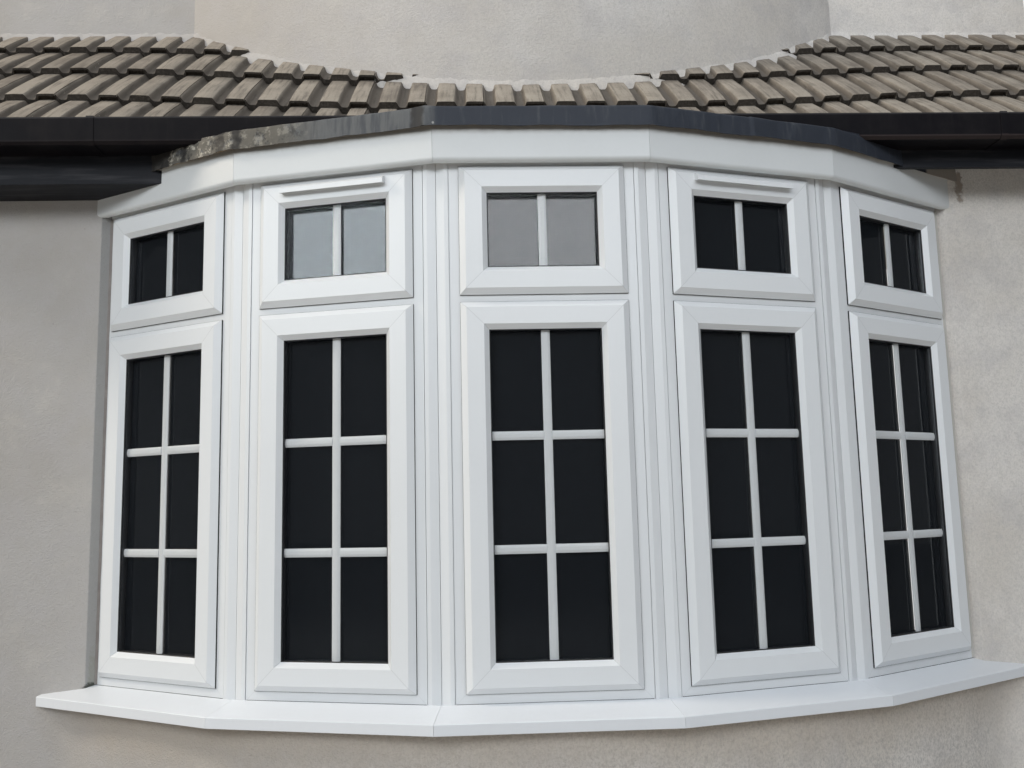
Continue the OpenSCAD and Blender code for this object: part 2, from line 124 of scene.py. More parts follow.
class Value:
    """A number socket of a node tree that takes part in Python expressions."""

    def __init__(self, shader: "Shader", socket: Socket) -> None:
        """Wraps one output socket.

        Args:
            shader: The shader that the socket belongs to.
            socket: Output socket that carries a number.
        """
        self.shader = shader
        self.socket = socket

    def math(self, operation: str, *others: "Value | float", first: "Value | float | None" = None) -> "Value":
        """Adds one Math node.

        Args:
            operation: Name of the Math node's operation.
            others: Further operands after this one.
            first: Operand to put before this one, for the reflected operators.

        Returns:
            The node's result.
        """
        operands = [self, *others] if first is None else [first, self]
        made = self.shader.node("ShaderNodeMath", {"operation": operation}, dict(enumerate(operands)))
        return Value(self.shader, made.outputs[0])

    def __add__(self, other: "Value | float") -> "Value":
        """Sum."""
        return self.math("ADD", other)

    def __radd__(self, other: float) -> "Value":
        """Sum with the number first."""
        return self.math("ADD", other)

    def __sub__(self, other: "Value | float") -> "Value":
        """Difference."""
        return self.math("SUBTRACT", other)

    def __rsub__(self, other: float) -> "Value":
        """Difference with the number first."""
        return self.math("SUBTRACT", first=other)

    def __mul__(self, other: "Value | float") -> "Value":
        """Product."""
        return self.math("MULTIPLY", other)

    def __rmul__(self, other: float) -> "Value":
        """Product with the number first."""
        return self.math("MULTIPLY", other)

    def __truediv__(self, other: "Value | float") -> "Value":
        """Quotient."""
        return self.math("DIVIDE", other)

    def __pow__(self, other: float) -> "Value":
        """Power."""
        return self.math("POWER", other)

    def __abs__(self) -> "Value":
        """Size without its sign."""
        return self.math("ABSOLUTE")

    def least(self, other: "Value | float") -> "Value":
        """The smaller of the two."""
        return self.math("MINIMUM", other)

    def most(self, other: "Value | float") -> "Value":
        """The larger of the two."""
        return self.math("MAXIMUM", other)

    def rise(self, low: float, high: float) -> "Value":
        """Smooth step.

        Args:
            low: Where the step starts.
            high: Where it ends; below low, the step goes down.

        Returns:
            0 before low, 1 after high and a smooth rise between them.
        """
        flip = high < low
        settings = {"interpolation_type": "SMOOTHSTEP"}
        inputs = {"Value": self, "From Min": min(low, high), "From Max": max(low, high),
                  "To Min": float(flip), "To Max": float(not flip)}
        return Value(self.shader, self.shader.node("ShaderNodeMapRange", settings, inputs).outputs["Result"])


class Shader:
    """One procedural material on the Principled shader."""

    def __init__(self, name: str) -> None:
        """Makes the material with a bare node tree.

        Args:
            name: Name of the material.
        """
        self.material = bpy.data.materials.new(name)
        self.material.use_nodes = True
        self.tree = self.material.node_tree
        self.tree.nodes.clear()
        self.surface = self.node("ShaderNodeBsdfPrincipled")
        self.output = self.node("ShaderNodeOutputMaterial")
        self.tree.links.new(self.surface.outputs[0], self.output.inputs["Surface"])
        self._points = self.node("ShaderNodeTexCoord").outputs["Object"]

    def node(self, kind: str, settings: dict | None = None, inputs: dict | None = None) -> bpy.types.Node:
        """Adds a node of any kind.

        Args:
            kind: The node's type name.
            settings: Attributes to set first.
            inputs: Numbers, colours, sockets or Values by socket name or number.

        Returns:
            The new node.
        """
        made = self.tree.nodes.new(kind)
        for name, value in (settings or {}).items():
            setattr(made, name, value)
        for key, value in (inputs or {}).items():
            self.feed(made.inputs[key], value)
        return made

    def feed(self, socket: Socket, value: Value | Socket | float | Sequence) -> None:
        """Links or sets one input socket.

        Args:
            socket: Input to feed.
            value: A Value, an output socket, or plain numbers.
        """
        source = value.socket if isinstance(value, Value) else value
        if isinstance(source, Socket):
            self.tree.links.new(source, socket)
        elif socket.type == "RGBA" and len(source) == 3:
            socket.default_value = (*source, 1.0)
        else:
            socket.default_value = source

    def axes(self, turned: Matrix | None = None, stretch: Triple = NO_STRETCH) -> Socket:
        """Object coordinates, turned into a part's own axes.

        Args:
            turned: Placement of the part's axes; its inverse is applied to the coordinates.
            stretch: Factor on each axis after that.

        Returns:
            Vector socket.
        """
        if turned is None and stretch == NO_STRETCH:
            return self._points
        inverse = (turned or Matrix.Identity(4)).inverted()
        inputs = {"Vector": self._points, "Location": inverse.to_translation(),
                  "Rotation": inverse.to_euler()}
        moved = self.node("ShaderNodeMapping", {"vector_type": "POINT"}, inputs).outputs[0]
        return self.node("ShaderNodeVectorMath", {"operation": "MULTIPLY"}, {0: moved, 1: stretch}).outputs[0]

    def split(self, vector: Socket) -> tuple[Value, Value, Value]:
        """The three numbers of a vector."""
        made = self.node("ShaderNodeSeparateXYZ", {}, {0: vector})
        return tuple(Value(self, made.outputs[k]) for k in range(3))

    def grain(self, size: float, detail: float = 2.0, rough: float = 0.5,
              along: Socket | None = None, seed: float = 0.0) -> Value:
        """Noise pattern.

        Args:
            size: Size of its largest lumps, in metres.
            detail: Number of finer layers.
            rough: Strength of the finer layers.
            along: Coordinates, or the object's own.
            seed: Shift that makes another pattern of the same kind.

        Returns:
            Noise from 0 to 1 around 0.5.
        """
        source = along or self._points
        if seed:
            shift = {0: source, 1: (seed, seed, seed)}
            source = self.node("ShaderNodeVectorMath", {"operation": "ADD"}, shift).outputs[0]
        inputs = {"Vector": source, "Scale": 1.0 / size, "Detail": detail, "Roughness": rough}
        return Value(self, self.node("ShaderNodeTexNoise", {}, inputs).outputs[0])

    def cells(self, size: float) -> Value:
        """Distance to the middle of the nearest cell, in cells of that size in metres."""
        made = self.node("ShaderNodeTexVoronoi", {}, {"Vector": self._points, "Scale": 1.0 / size})
        return Value(self, made.outputs["Distance"])

    def mix(self, factor: Value, low: Tint, high: Tint) -> Socket:
        """Colour between two others.

        Args:
            factor: 0 gives low and 1 gives high.
            low: Colour at 0.
            high: Colour at 1.

        Returns:
            Colour socket.
        """
        settings = {"data_type": "RGBA", "clamp_factor": True}
        inputs = {"Factor": factor, MIX_LOW: low, MIX_HIGH: high}
        return self.node("ShaderNodeMix", settings, inputs).outputs[MIX_RESULT]

    def carried(self, name: str) -> Value:
        """A number that the mesh carries on its vertices."""
        return Value(self, self.node("ShaderNodeAttribute", {"attribute_name": name}).outputs["Fac"])

    def facing(self) -> tuple[Value, Value, Value]:
        """The surface's own direction in the object's axes."""
        return self.split(self.node("ShaderNodeTexCoord").outputs["Normal"])

    def finish(self, colour: Tint, roughness: Value | float, height: Value | None = None,
               depth: float = 0.0, constants: dict | None = None) -> Material:
        """Feeds the Principled shader.

        Args:
            colour: Base colour.
            roughness: Roughness.
            height: Height pattern for the bump.
            depth: Height of the bump's full range, in metres.
            constants: Plain values of the shader's other sockets.

        Returns:
            The finished material.
        """
        self.feed(self.surface.inputs["Base Color"], colour)
        self.feed(self.surface.inputs["Roughness"], roughness)
        for name, value in (constants or {}).items():
            self.feed(self.surface.inputs[name], value)
        if height is not None:
            bump = self.node("ShaderNodeBump", {}, {"Height": height, "Distance": depth, "Strength": 1.0})
            self.feed(self.surface.inputs["Normal"], bump.outputs[0])
        return self.material


@dataclass(frozen=True)
class Box:
    """Box in some part's own axes."""

    low: Vector
    high: Vector

    def shrunk(self, by: float) -> "Box":
        """The same box with its rectangle in x and z drawn in by that much on each side."""
        return Box(self.low + Vector((by, 0, by)), self.high - Vector((by, 0, by)))

    @property
    def middle(self) -> Vector:
        """Its centre."""
        return (self.low + self.high) / 2


@dataclass(frozen=True)
class Bow:
    """Polar plan of the five sides."""

    pitch: float = 600 * MM
    turn: float = math.radians(15.45)
    glass_y: float = 0.0

    @property
    def radius(self) -> float:
        """From the bow's centre to the glass face in the middle of a side."""
        return self.pitch / 2 / math.tan(self.turn / 2)

    @property
    def centre(self) -> Vector:
        """Centre of the bow in plan."""
        return Vector((0, self.glass_y + self.radius, 0))

    def axes_of(self, place: Place) -> Matrix:
        """Axes of one side: x along it, y into the room from the glass face, z up.

        Args:
            place: The side.

        Returns:
            Placement of its axes.
        """
        angle = (place.value - Place.CENTRE.value) * self.turn
        out = Matrix.Translation((0, -self.radius, 0))
        return Matrix.Translation(self.centre) @ Matrix.Rotation(angle, 4, "Z") @ out

    def corner(self, number: float, out: float) -> Vector:
        """A corner of the bow in plan.

        Args:
            number: Sides from the middle of the bow: -1.5, -0.5, 0.5 or 1.5.
            out: How far the glass line is pushed out.

        Returns:
            The point at height 0.
        """
        reach = (self.radius + out) / math.cos(self.turn / 2)
        return self.centre + plan_direction(number * self.turn) * reach

    def box_of(self, node: str, place: Place) -> Box:
        """Box of a CAD node in the axes of its own side.

        Args:
            node: Name of the node.
            place: The side that it stands on.

        Returns:
            Its lowest and highest corner there.
        """
        inverse = self.axes_of(place).inverted()
        points = [inverse @ v.co for v in NODES[node].data.vertices]
        low = Vector([min(p[k] for p in points) for k in range(3)])
        high = Vector([max(p[k] for p in points) for k in range(3)])
        return Box(low, high)


BOW = Bow(glass_y=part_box("glazing_centre")[0].y)


def wobble(point: Vector, size: float, seed: float = 0.0, octaves: int = 3) -> float:
    """Smooth random number about 0 that depends on the place.

    Args:
        point: The place.
        size: Size of the largest lumps.
        seed: Shift to another pattern.
        octaves: Number of layers.

    Returns:
        A number from about -1 to 1.
    """
    return noise.fractal(point / size + Vector((seed, seed * 1.7, seed * 0.6)), 0.9, 2.1, octaves)


def ease(value: float, low: float, high: float) -> float:
    """Smooth step from 0 at low to 1 at high."""
    t = min(1.0, max(0.0, (value - low) / (high - low)))
    return t * t * (3 - 2 * t)


class Workpiece:
    """A mesh under construction."""

    def __init__(self) -> None:
        """Starts empty."""
        self.bm = bmesh.new()

    def sheet(self, outline: Iterable[Vector]) -> bmesh.types.BMFace:
        """One flat face from its corners."""
        return self.bm.faces.new([self.bm.verts.new(p) for p in outline])

    def prism(self, corners: Sequence[Vector], travel: Vector) -> list[bmesh.types.BMVert]:
        """Straight bar with any outline.

        Args:
            corners: Corners of its end face.
            travel: From that end to the other.

        Returns:
            All of its vertices.
        """
        face = self.sheet(corners)
        grown = bmesh.ops.extrude_face_region(self.bm, geom=[face], use_keep_orig=True)["geom"]
        moved = [g for g in grown if isinstance(g, bmesh.types.BMVert)]
        bmesh.ops.translate(self.bm, verts=moved, vec=travel)
        return list(face.verts) + moved

    def cut(self, geometry: list, point: Vector, normal: Vector) -> None:
        """Cuts off what lies beyond a plane and closes the cut.

        Args:
            geometry: Vertices, edges and faces to cut.
            point: Point of the plane.
            normal: Direction of the side that goes.
        """
        cut = bmesh.ops.bisect_plane(self.bm, geom=geometry, plane_co=point, plane_no=normal,
                                     clear_outer=True)
        edges = [g for g in cut["geom_cut"] if isinstance(g, bmesh.types.BMEdge)]
        if edges:
            bmesh.ops.holes_fill(self.bm, edges=edges, sides=0)

    def bar_x(self, outline: Outline, start: float, end: float, z: float) -> list[bmesh.types.BMVert]:
        """Bar along x; the outline is (depth, height) about the line at z."""
        return self.prism([Vector((start, d, z + h)) for d, h in outline], Vector((end - start, 0, 0)))

    def bar_z(self, outline: Outline, x: float, start: float, end: float) -> list[bmesh.types.BMVert]:
        """Bar along z; the outline is (depth, sideways) about the line at x."""
        return self.prism([Vector((x + h, d, start)) for d, h in outline], Vector((0, 0, end - start)))

    def ring(self, box: Box, outline: Outline) -> None:
        """Bar round a rectangle with mitred corners.

        Args:
            box: Its outer rectangle in x and z.
            outline: Section as (inset from the rectangle, depth) points.
        """
        corners = ((0, 0), (1, 0), (1, 1), (0, 1))
        loops = []
        for right, top in corners:
            x, inward = (box.high.x, -1) if right else (box.low.x, 1)
            z, upward = (box.high.z, -1) if top else (box.low.z, 1)
            verts = [self.bm.verts.new((x + inward * i, d, z + upward * i)) for i, d in outline]
            loops.append([self.bm.edges.new(pair) for pair in zip(verts, verts[1:] + verts[:1])])
        for a, b in zip(loops, loops[1:] + loops[:1]):
            bmesh.ops.bridge_loops(self.bm, edges=a + b)

    def tidy(self) -> "Workpiece":
        """Turns all faces outwards."""
        bmesh.ops.recalc_face_normals(self.bm, faces=self.bm.faces)
        return self

    def place(self, axes: Matrix) -> "Workpiece":
        """Moves everything from a side's axes to the model's."""
        bmesh.ops.transform(self.bm, matrix=axes, verts=self.bm.verts)
        return self

    def tube(self, rings: Sequence[Sequence[bmesh.types.BMVert]]) -> list[bmesh.types.BMFace]:
        """Sides of a closed tube; its ends stay open.

        Args:
            rings: Rings of equally many vertices that it runs through.

        Returns:
            The new faces.
        """
        count = len(rings[0])
        return [self.bm.faces.new((a[i], a[(i + 1) % count], b[(i + 1) % count], b[i]))
                for a, b in zip(rings, rings[1:]) for i in range(count)]

    def piece(self, name: str, material: Material, slot: Slot,
              smooth: float = 30.0) -> bpy.types.Object:
        """Makes the finished object.

        Args:
            name: Name of the piece.
            material: Its finish.
            slot: The record's slot that the finish belongs to; not used.
            smooth: Edges that bend by less than this angle in degrees are shaded smooth.

        Returns:
            The object, riding on the fixed body.
        """
        mesh = bpy.data.meshes.new(name)
        for edge in self.bm.edges:
            edge.smooth = len(edge.link_faces) == 2 and edge.calc_face_angle(math.pi) < math.radians(smooth)
        for face in self.bm.faces:
            face.smooth = True
        self.bm.to_mesh(mesh)
        self.bm.free()
        made = add_object(name, mesh)
        mesh.materials.append(material)
        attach(made, "root")
        log.info("piece %s: %d faces", name, len(mesh.polygons))
        return made


class Finish:
    """A finish that needs nothing but a name to be made."""

    def material(self, name: str) -> Material:
        """Makes the finish.

        Args:
            name: Name of the material.

        Returns:
            The material.
        """
        shader = Shader(name)
        self.coat(shader)
        return shader.material

    def coat(self, shader: Shader) -> None:
        """Builds the finish's nodes in the shader."""
        raise NotImplementedError


@dataclass(frozen=True)
class WindowPlastic:
    """Smooth white window plastic with a faint satin skin."""

    colour: Colour = (0.775, 0.79, 0.803)
    roughness: float = 0.32
    dust: float = 0.05
    joint: float = 0.9 * MM
    joint_dark: float = 0.42
    joint_colour: Colour = (0.33, 0.33, 0.34)
    # Painted shadow of the lead above, with grime, at the top of the fascia.
    shadow_and_grime_top: bool = False
    top_shadow_and_grime: Colour = (0.13, 0.105, 0.08)
    top_z: Pair = (2.462, 2.486)
    top_flat_half: float = 0.89
    top_climb: float = 0.085
    skin_depth: float = 0.25 * MM

    def material(self, name: str, ring: Box | None = None, axes: Matrix | None = None) -> Material:
        """Makes the finish.

        Args:
            name: Name of the material.
            ring: Outer rectangle of a mitred frame, for the joint lines in its corners.
            axes: Axes in which that rectangle stands.

        Returns:
            The material.
        """
        shader = Shader(name)
        broad = shader.grain(0.35, 3)
        fine = shader.grain(0.012, 3, seed=4.0)
        dusty = (broad - 0.5) * (2 * self.dust) + (fine - 0.5) * self.dust
        colour = shader.mix(abs(dusty).least(1.0), self.colour, dimmed(self.colour, (0.62, 0.61, 0.58)))
        skin = shader.grain(0.0016, 2, seed=9.0) * 0.5 + shader.grain(0.02, 1) * 0.5
        height = skin * 0.3
        # Painted shadow of the lead's overhang, with grime, in a brown strip at the top of the board.
        if self.shadow_and_grime_top:
            x, _, z = shader.split(shader.axes())
            foot = z - abs(x).most(self.top_flat_half) * self.top_climb
            shadow_and_grime_strip = (foot + shader.grain(0.03, 3, seed=17.0) * 0.008).rise(*self.top_z)
            colour = shader.mix(shadow_and_grime_strip * 0.75, colour, self.top_shadow_and_grime)
        if ring is not None:
            x, _, z = shader.split(shader.axes(axes))
            across = (x - ring.low.x).least(ring.high.x - x)
            up = (z - ring.low.z).least(ring.high.z - z)
            line = abs(across - up).rise(self.joint, self.joint * 0.4)
            colour = shader.mix(line * self.joint_dark, colour, self.joint_colour)
            height = height - line
        roughness = broad * 0.12 + self.roughness - 0.06
        return shader.finish(colour, roughness, height, self.skin_depth, {SPECULAR: 0.42})


@dataclass(frozen=True)
class PaneGlass:
    """Sealed unit: a clear outer pane and a nearly opaque dark inner pane, painted shade that stands for the
    dark room.
    """

    # Near-black of the inner pane: painted shade of the room.
    dark: Colour = (0.012, 0.014, 0.017)
    clear_alpha: float = 0.06
    room_shade_alpha: float = 0.965
    bar_share: float = 0.34
    reach: float = 11 * MM
    blur: float = 0.5 * MM

    def material(self, name: str, axes: Matrix, cavity: float, bars: "BarLayout") -> Material:
        """Makes the finish of one light's panes.

        Args:
            name: Name of the material.
            axes: Axes of the light.
            cavity: Depth of the middle of the space between the panes.
            bars: Where the glazing bars are, behind which the inner pane is clear.

        Returns:
            The material.
        """
        shader = Shader(name)
        x, y, z = shader.split(shader.axes(axes))
        inner = y.rise(cavity - MM, cavity + MM)
        half = bars.width * self.bar_share
        start, end = max(-half, bars.lean - self.reach), min(half, bars.lean + self.reach)
        width = (end - start) / 2
        behind = abs(x - (bars.x + (start + end) / 2)).rise(width + self.blur, width - self.blur)
        for height in bars.heights:
            behind = behind.most(abs(z - height).rise(half + self.blur, half - self.blur))
        film = shader.grain(0.25, 3) * 0.03
        # Painted shade: the inner pane is nearly opaque and dark, but clear behind the glazing bars.
        alpha = inner * (1 - behind) * (self.room_shade_alpha - self.clear_alpha) + self.clear_alpha
        shader.feed(shader.surface.inputs["Alpha"], alpha)
        return shader.finish(self.dark, film + 0.02, None, 0.0, {SPECULAR: 0.5})


@dataclass(frozen=True)
class Stain:
    """A ragged stain on the flat wall."""

    x: float
    z: float
    wide: float
    tall: float
    tint: Colour


@dataclass(frozen=True)
class RenderCoat(Finish):
    """Painted fine roughcast outside, and painted plaster on the faces inside the room."""

    colour: Colour = (0.735, 0.695, 0.655)
    # Painted shade: the colour that the paint turns to on the left of the wall.
    shaded: Colour = (0.435, 0.415, 0.40)
    cool: Colour = (0.45, 0.43, 0.44)
    cream: Colour = (0.64, 0.60, 0.53)
    # Grime and painted shade just under the sill.
    under_sill_grime_and_shade: Colour = (0.44, 0.365, 0.285)
    # Painted shade on the left reveal.
    reveal: Colour = (0.27, 0.28, 0.28)
    speck: Colour = (0.2, 0.17, 0.14)
    splash: Colour = (0.30, 0.285, 0.25)
    plaster: Colour = (0.80, 0.79, 0.765)
    stones: float = 5 * MM
    relief: float = 3.2 * MM
    stains: tuple[Stain, ...] = (
        Stain(1.446, 2.540, 0.017, 0.065, (0.29, 0.235, 0.19)),
        Stain(1.402, 2.458, 0.022, 0.012, (0.62, 0.59, 0.54)),
        Stain(-1.374, 1.03, 0.012, 0.09, (0.30, 0.30, 0.27)),
        Stain(-1.378, 0.993, 0.026, 0.013, (0.03, 0.034, 0.026)))

    def coat(self, shader: Shader) -> None:
        """Builds the finish's nodes.

        Args:
            shader: Shader that they are made in.
        """
        _, y, z = shader.split(shader.axes())
        lumps = shader.grain(self.stones * 2.2, 3, 0.62)
        pits = 1 - shader.cells(self.stones).rise(0.0, 0.75)
        sweep = shader.grain(0.16, 3, seed=2.0)
        height = lumps * 0.75 + pits * 0.25 + sweep * 1.2
        coarse = z.rise(1.05, 0.93) * y.rise(-0.16, -0.26) * 0.5 + 0.55
        colour = self.dirty(shader, self.paint(shader, lumps, coarse))
        room = self.room(shader)
        patchy = shader.grain(0.4, 2).rise(0.3, 0.8) * 0.25
        painted = shader.mix(patchy, self.plaster, dimmed(self.plaster, 0.93))
        smooth = shader.grain(0.004, 2) * 0.06
        height = height * (1 - room) * (coarse * 0.5 + 0.5) + smooth * room
        colour = shader.mix(room, colour, painted)
        shader.finish(colour, 0.86 - room * 0.1, height, self.relief, {SPECULAR: 0.25})

    def paint(self, shader: Shader, lumps: Value, coarse: Value) -> Socket:
        """Paint, darker to the left as painted shade, blotchy, and darker in the roughcast's hollows and pits
        as painted shade.

        Args:
            shader: Shader that it is made in.
            lumps: Pattern of the roughcast's lumps.
            coarse: How rough the coat is, from the flat walls to the bow under the sill.

        Returns:
            Colour socket.
        """
        x, _, _ = shader.split(shader.axes())
        broad = shader.grain(0.55, 4, 0.6, seed=7.0)
        # Painted shade: the paint grows darker towards the left.
        shade = (x + (broad - 0.5) * 0.8).rise(1.2, -1.9)
        clean = shader.mix(shade, self.colour, self.shaded)
        stained = shader.mix(shade, *(dimmed(c, (0.89, 0.875, 0.85)) for c in (self.colour, self.shaded)))
        colour = shader.mix(broad.rise(0.38, 0.64), clean, stained)
        mottled = shader.grain(0.13, 4, 0.62, seed=14.0)
        colour = shader.mix(mottled.rise(0.44, 0.68) * 0.3, colour, self.cool)
        colour = shader.mix(mottled.rise(0.46, 0.3) * 0.16, colour, self.cream)
        grit = shader.grain(self.stones, 2, 0.6, along=shader.axes(stretch=(1.0, 1.0, 0.7)), seed=12.0)
        # Painted shade in the roughcast's hollows and pits, stronger where the coat is coarse.
        pit_shade = (lumps.rise(0.6, 0.3) * 0.4 + grit.rise(0.6, 0.35) * 0.46) * coarse
        return shader.mix(pit_shade, colour, dimmed(self.colour, 0.56))

    def dirty(self, shader: Shader, colour: Socket) -> Socket:
        """Adds grime and painted shade: streaks of grime with painted shade under the sill, painted shade on
        the left reveal, specks, splashes at the ground, and stains.

        Args:
            shader: Shader that it is made in.
            colour: The clean paint.

        Returns:
            Colour socket.
        """
        x, y, z = shader.split(shader.axes())
        nx, _, _ = shader.facing()
        streaks = shader.grain(0.05, 4, 0.6, along=shader.axes(stretch=(1.0, 1.0, 0.3)), seed=6.0)
        # Streaks of grime and painted shade in a strip just under the sill.
        under = (z + streaks * 0.08).rise(0.80, 0.96) * z.rise(0.96, 0.94) * abs(x).rise(1.56, 1.3)
        colour = shader.mix(under * 0.4, colour, self.under_sill_grime_and_shade)
        # Painted shade on the right-facing side of the left reveal.
        reveal = nx.rise(0.3, 0.5) * x.rise(-1.34, -1.36) * y.rise(-0.02, -0.05)
        colour = shader.mix(reveal * 0.6, colour, self.reveal)
        specks = shader.cells(0.075).rise(0.035, 0.02) * shader.grain(0.3, 2, seed=5.0).rise(0.52, 0.62)
        colour = shader.mix(specks * 0.4, colour, self.speck)
        splash = z.rise(0.32, 0.0) * shader.grain(0.09, 4, seed=3.0).rise(0.25, 0.75)
        colour = shader.mix(splash * 0.5, colour, self.splash)
        ragged = shader.grain(0.022, 4, 0.7, seed=8.0)
        for stain in self.stains:
            away = ((x - stain.x) / stain.wide) ** 2 + ((z - stain.z) / stain.tall) ** 2
            inside = (away * 0.5 + (ragged - 0.5) * 1.8).rise(0.5, 0.1)
            colour = shader.mix(inside * y.rise(0.12, 0.08) * 0.85, colour, stain.tint)
        return colour

    def room(self, shader: Shader) -> Value:
        """Finds the wall's faces inside the room: its back, its undersides and the bow's inner side.

        Args:
            shader: Shader that it is made in.

        Returns:
            1 on those faces and 0 outside.
        """
        x, y, z = shader.split(shader.axes())
        nx, ny, nz = shader.facing()
        behind = y - BOW.centre.y
        reach = (x * x + behind * behind).math("SQRT")
        room = ny.rise(0.4, 0.6).most(nz.rise(-0.4, -0.6)).most(reach.rise(2.03, 2.0) * z.rise(1.02, 1.01))
        beside = abs(x).rise(1.425, 1.42) * y.rise(-0.0855, -0.0825)
        return room.most(beside * abs(nx).rise(0.3, 0.4) * z.rise(2.62, 2.6))


@dataclass(frozen=True)
class LeadPatina(Finish):
    """Dressed lead sheet, dark blue-grey, with pale weathered streaks that painted light makes paler on its
    left sides, crusted at its left end, and with painted shade at its far left end and in its creases.
    """

    colour: Colour = (0.036, 0.041, 0.053)
    worn: Colour = (0.155, 0.158, 0.158)
    brown: Colour = (0.135, 0.122, 0.10)
    chalk: Colour = (0.42, 0.39, 0.33)
    # Dark mottling in the crust, and painted shade in the creases and at the far left end.
    dark_mottle_and_shade: Colour = (0.030, 0.028, 0.027)
    mortar: Colour = (0.36, 0.32, 0.28)
    spot: Colour = (0.5, 0.49, 0.46)
    shaded_folds: tuple[Pair, ...] = (
        (-0.935, 0.018), (-0.883, 0.018), (-1.06, 0.012), (-0.347, 0.022))

    def coat(self, shader: Shader) -> None:
        """Builds the finish's nodes.

        Args:
            shader: Shader that they are made in.
        """
        x, _, _ = shader.split(shader.axes())
        side = x.rise(-0.285, -0.315)
        far = x.rise(-0.6, -0.78)
        dents = shader.grain(0.05, 4, 0.55)
        streaks = shader.grain(0.03, 4, 0.6, along=shader.axes(stretch=(1.6, 1.6, 0.2)), seed=3.0)
        # Pale weathered streaks; on the left sides extra paleness is painted light.
        worn = side * (streaks.rise(0.3, 0.62) * 0.55 + 0.3) + (1 - side) * streaks.rise(0.52, 0.8) * 0.35
        colour = shader.mix(worn, self.colour, self.worn)
        patches = shader.grain(0.05, 5, 0.65, seed=11.0)
        colour = shader.mix(far * patches.rise(0.3, 0.5) * 0.8, colour, self.brown)
        crust = shader.grain(0.024, 5, 0.7, seed=21.0)
        chalky = far * 0.4 + x.rise(-0.86, -0.95) * 0.6
        colour = shader.mix(crust.rise(0.52, 0.62) * chalky, colour, self.chalk)
        # Dark mottling in the crust.
        colour = shader.mix(patches.rise(0.52, 0.42) * crust.rise(0.52, 0.4) * far * 0.85, colour, self.dark_mottle_and_shade)
        spots = shader.cells(0.09).rise(0.065, 0.04) * shader.grain(0.2, 2, seed=31.0).rise(0.45, 0.55)
        colour = shader.mix(spots * 0.8, colour, self.spot)
        # Painted shade in the creases of the sheet and at one of its corners.
        for fold, half in self.shaded_folds:
            near = abs(x + (dents - 0.5) * 0.05 - fold).rise(half, half * 0.4)
            colour = shader.mix(near * 0.8, colour, self.dark_mottle_and_shade)
        # Painted shadow: the far left end, under the gutter, turns near-black.
        colour = shader.mix((x + (crust - 0.5) * 0.05).rise(-1.105, -1.12) * 0.93, colour, self.dark_mottle_and_shade)
        colour = shader.mix(x.rise(1.285, 1.30), colour, self.mortar)
        rough = worn * 0.2 + dents * 0.15 + 0.42
        height = dents + crust * far * 0.8 + streaks * 0.2
        shader.finish(colour, rough, height, 2.2 * MM, {"Metallic": 0.1, SPECULAR: 0.2})


@dataclass(frozen=True)
class RoofTile:
    """Weathered grey-brown concrete with streaks down the slope; grime and painted shade darken the pans, the
    strip under each nose and the left of the roof, and painted shade with grime makes the noses near-black.
    """

    colour: Colour = (0.205, 0.176, 0.146)
    pale: Colour = (0.37, 0.325, 0.27)
    # Grime and painted shade, for the pans, the strip under each nose and the grit.
    dirt: Colour = (0.088, 0.075, 0.063)
    # Near-black of the noses: painted shade on the faces that look down the slope, with grime.
    dark: Colour = (0.032, 0.027, 0.023)
    lichen: Colour = (0.42, 0.40, 0.32)

    def material(self, name: str, slope: Matrix) -> Material:
        """Makes the finish.

        Args:
            name: Name of the material.
            slope: Axes of the roof slope, up along y and out along z.

        Returns:
            The material.
        """
        shader = Shader(name)
        share = shader.carried("across").math("FRACT")
        along, tone = shader.carried("along"), shader.carried("tone")
        pan = share.rise(0.0, 0.08) * share.rise(0.43, 0.36)
        blotch = shader.grain(0.11, 4, 0.6)
        grit = shader.grain(0.004, 3, 0.6, seed=3.0)
        streaks = shader.grain(0.011, 4, 0.6, along=shader.axes(slope, (1.0, 0.06, 0.5)), seed=5.0)
        fresh = blotch * 0.6 + streaks * 0.42 + grit * 0.16 + tone * 0.18 - pan * 0.24 - 0.1
        colour = shader.mix(fresh.rise(0.38, 0.78), self.colour, self.pale)
        x, _, _ = shader.split(shader.axes())
        # Grime and painted shade: dark streaks, the strip just under the next course's nose, and the pans.
        runs = streaks.rise(0.48, 0.32) * 0.35 + along.rise(0.2, 0.3) * 0.4
        # Painted shade: the tiles grow darker towards the left of the roof.
        runs = runs + pan * 0.6 + x.rise(-0.3, -1.3) * 0.22
        colour = shader.mix(runs, colour, self.dirt)
        spots = shader.grain(0.012, 4, 0.6, seed=15.0).rise(0.66, 0.7)
        spots = spots * shader.grain(0.3, 2, seed=19.0).rise(0.5, 0.6)
        colour = shader.mix(spots * 0.6, colour, self.lichen)
        colour = shader.mix(grit.rise(0.5, 0.3) * 0.25, colour, self.dirt)
        _, ny, nz = shader.facing()
        down = ny * -math.cos(ROOF_PITCH) - nz * math.sin(ROOF_PITCH)
        crumbs = shader.grain(0.009, 4, 0.7, seed=23.0)
        # Painted shade with grime: faces that look down the slope turn near-black, with crumbs.
        front = down.rise(0.35, 0.7)
        colour = shader.mix(front * 0.92, colour, shader.mix(crumbs.rise(0.45, 0.75), self.dark, self.dirt))
        height = grit * 0.7 + streaks * 0.4 + crumbs * front * 4
        return shader.finish(colour, grit * 0.15 + 0.78, height, 0.8 * MM, {SPECULAR: 0.25})


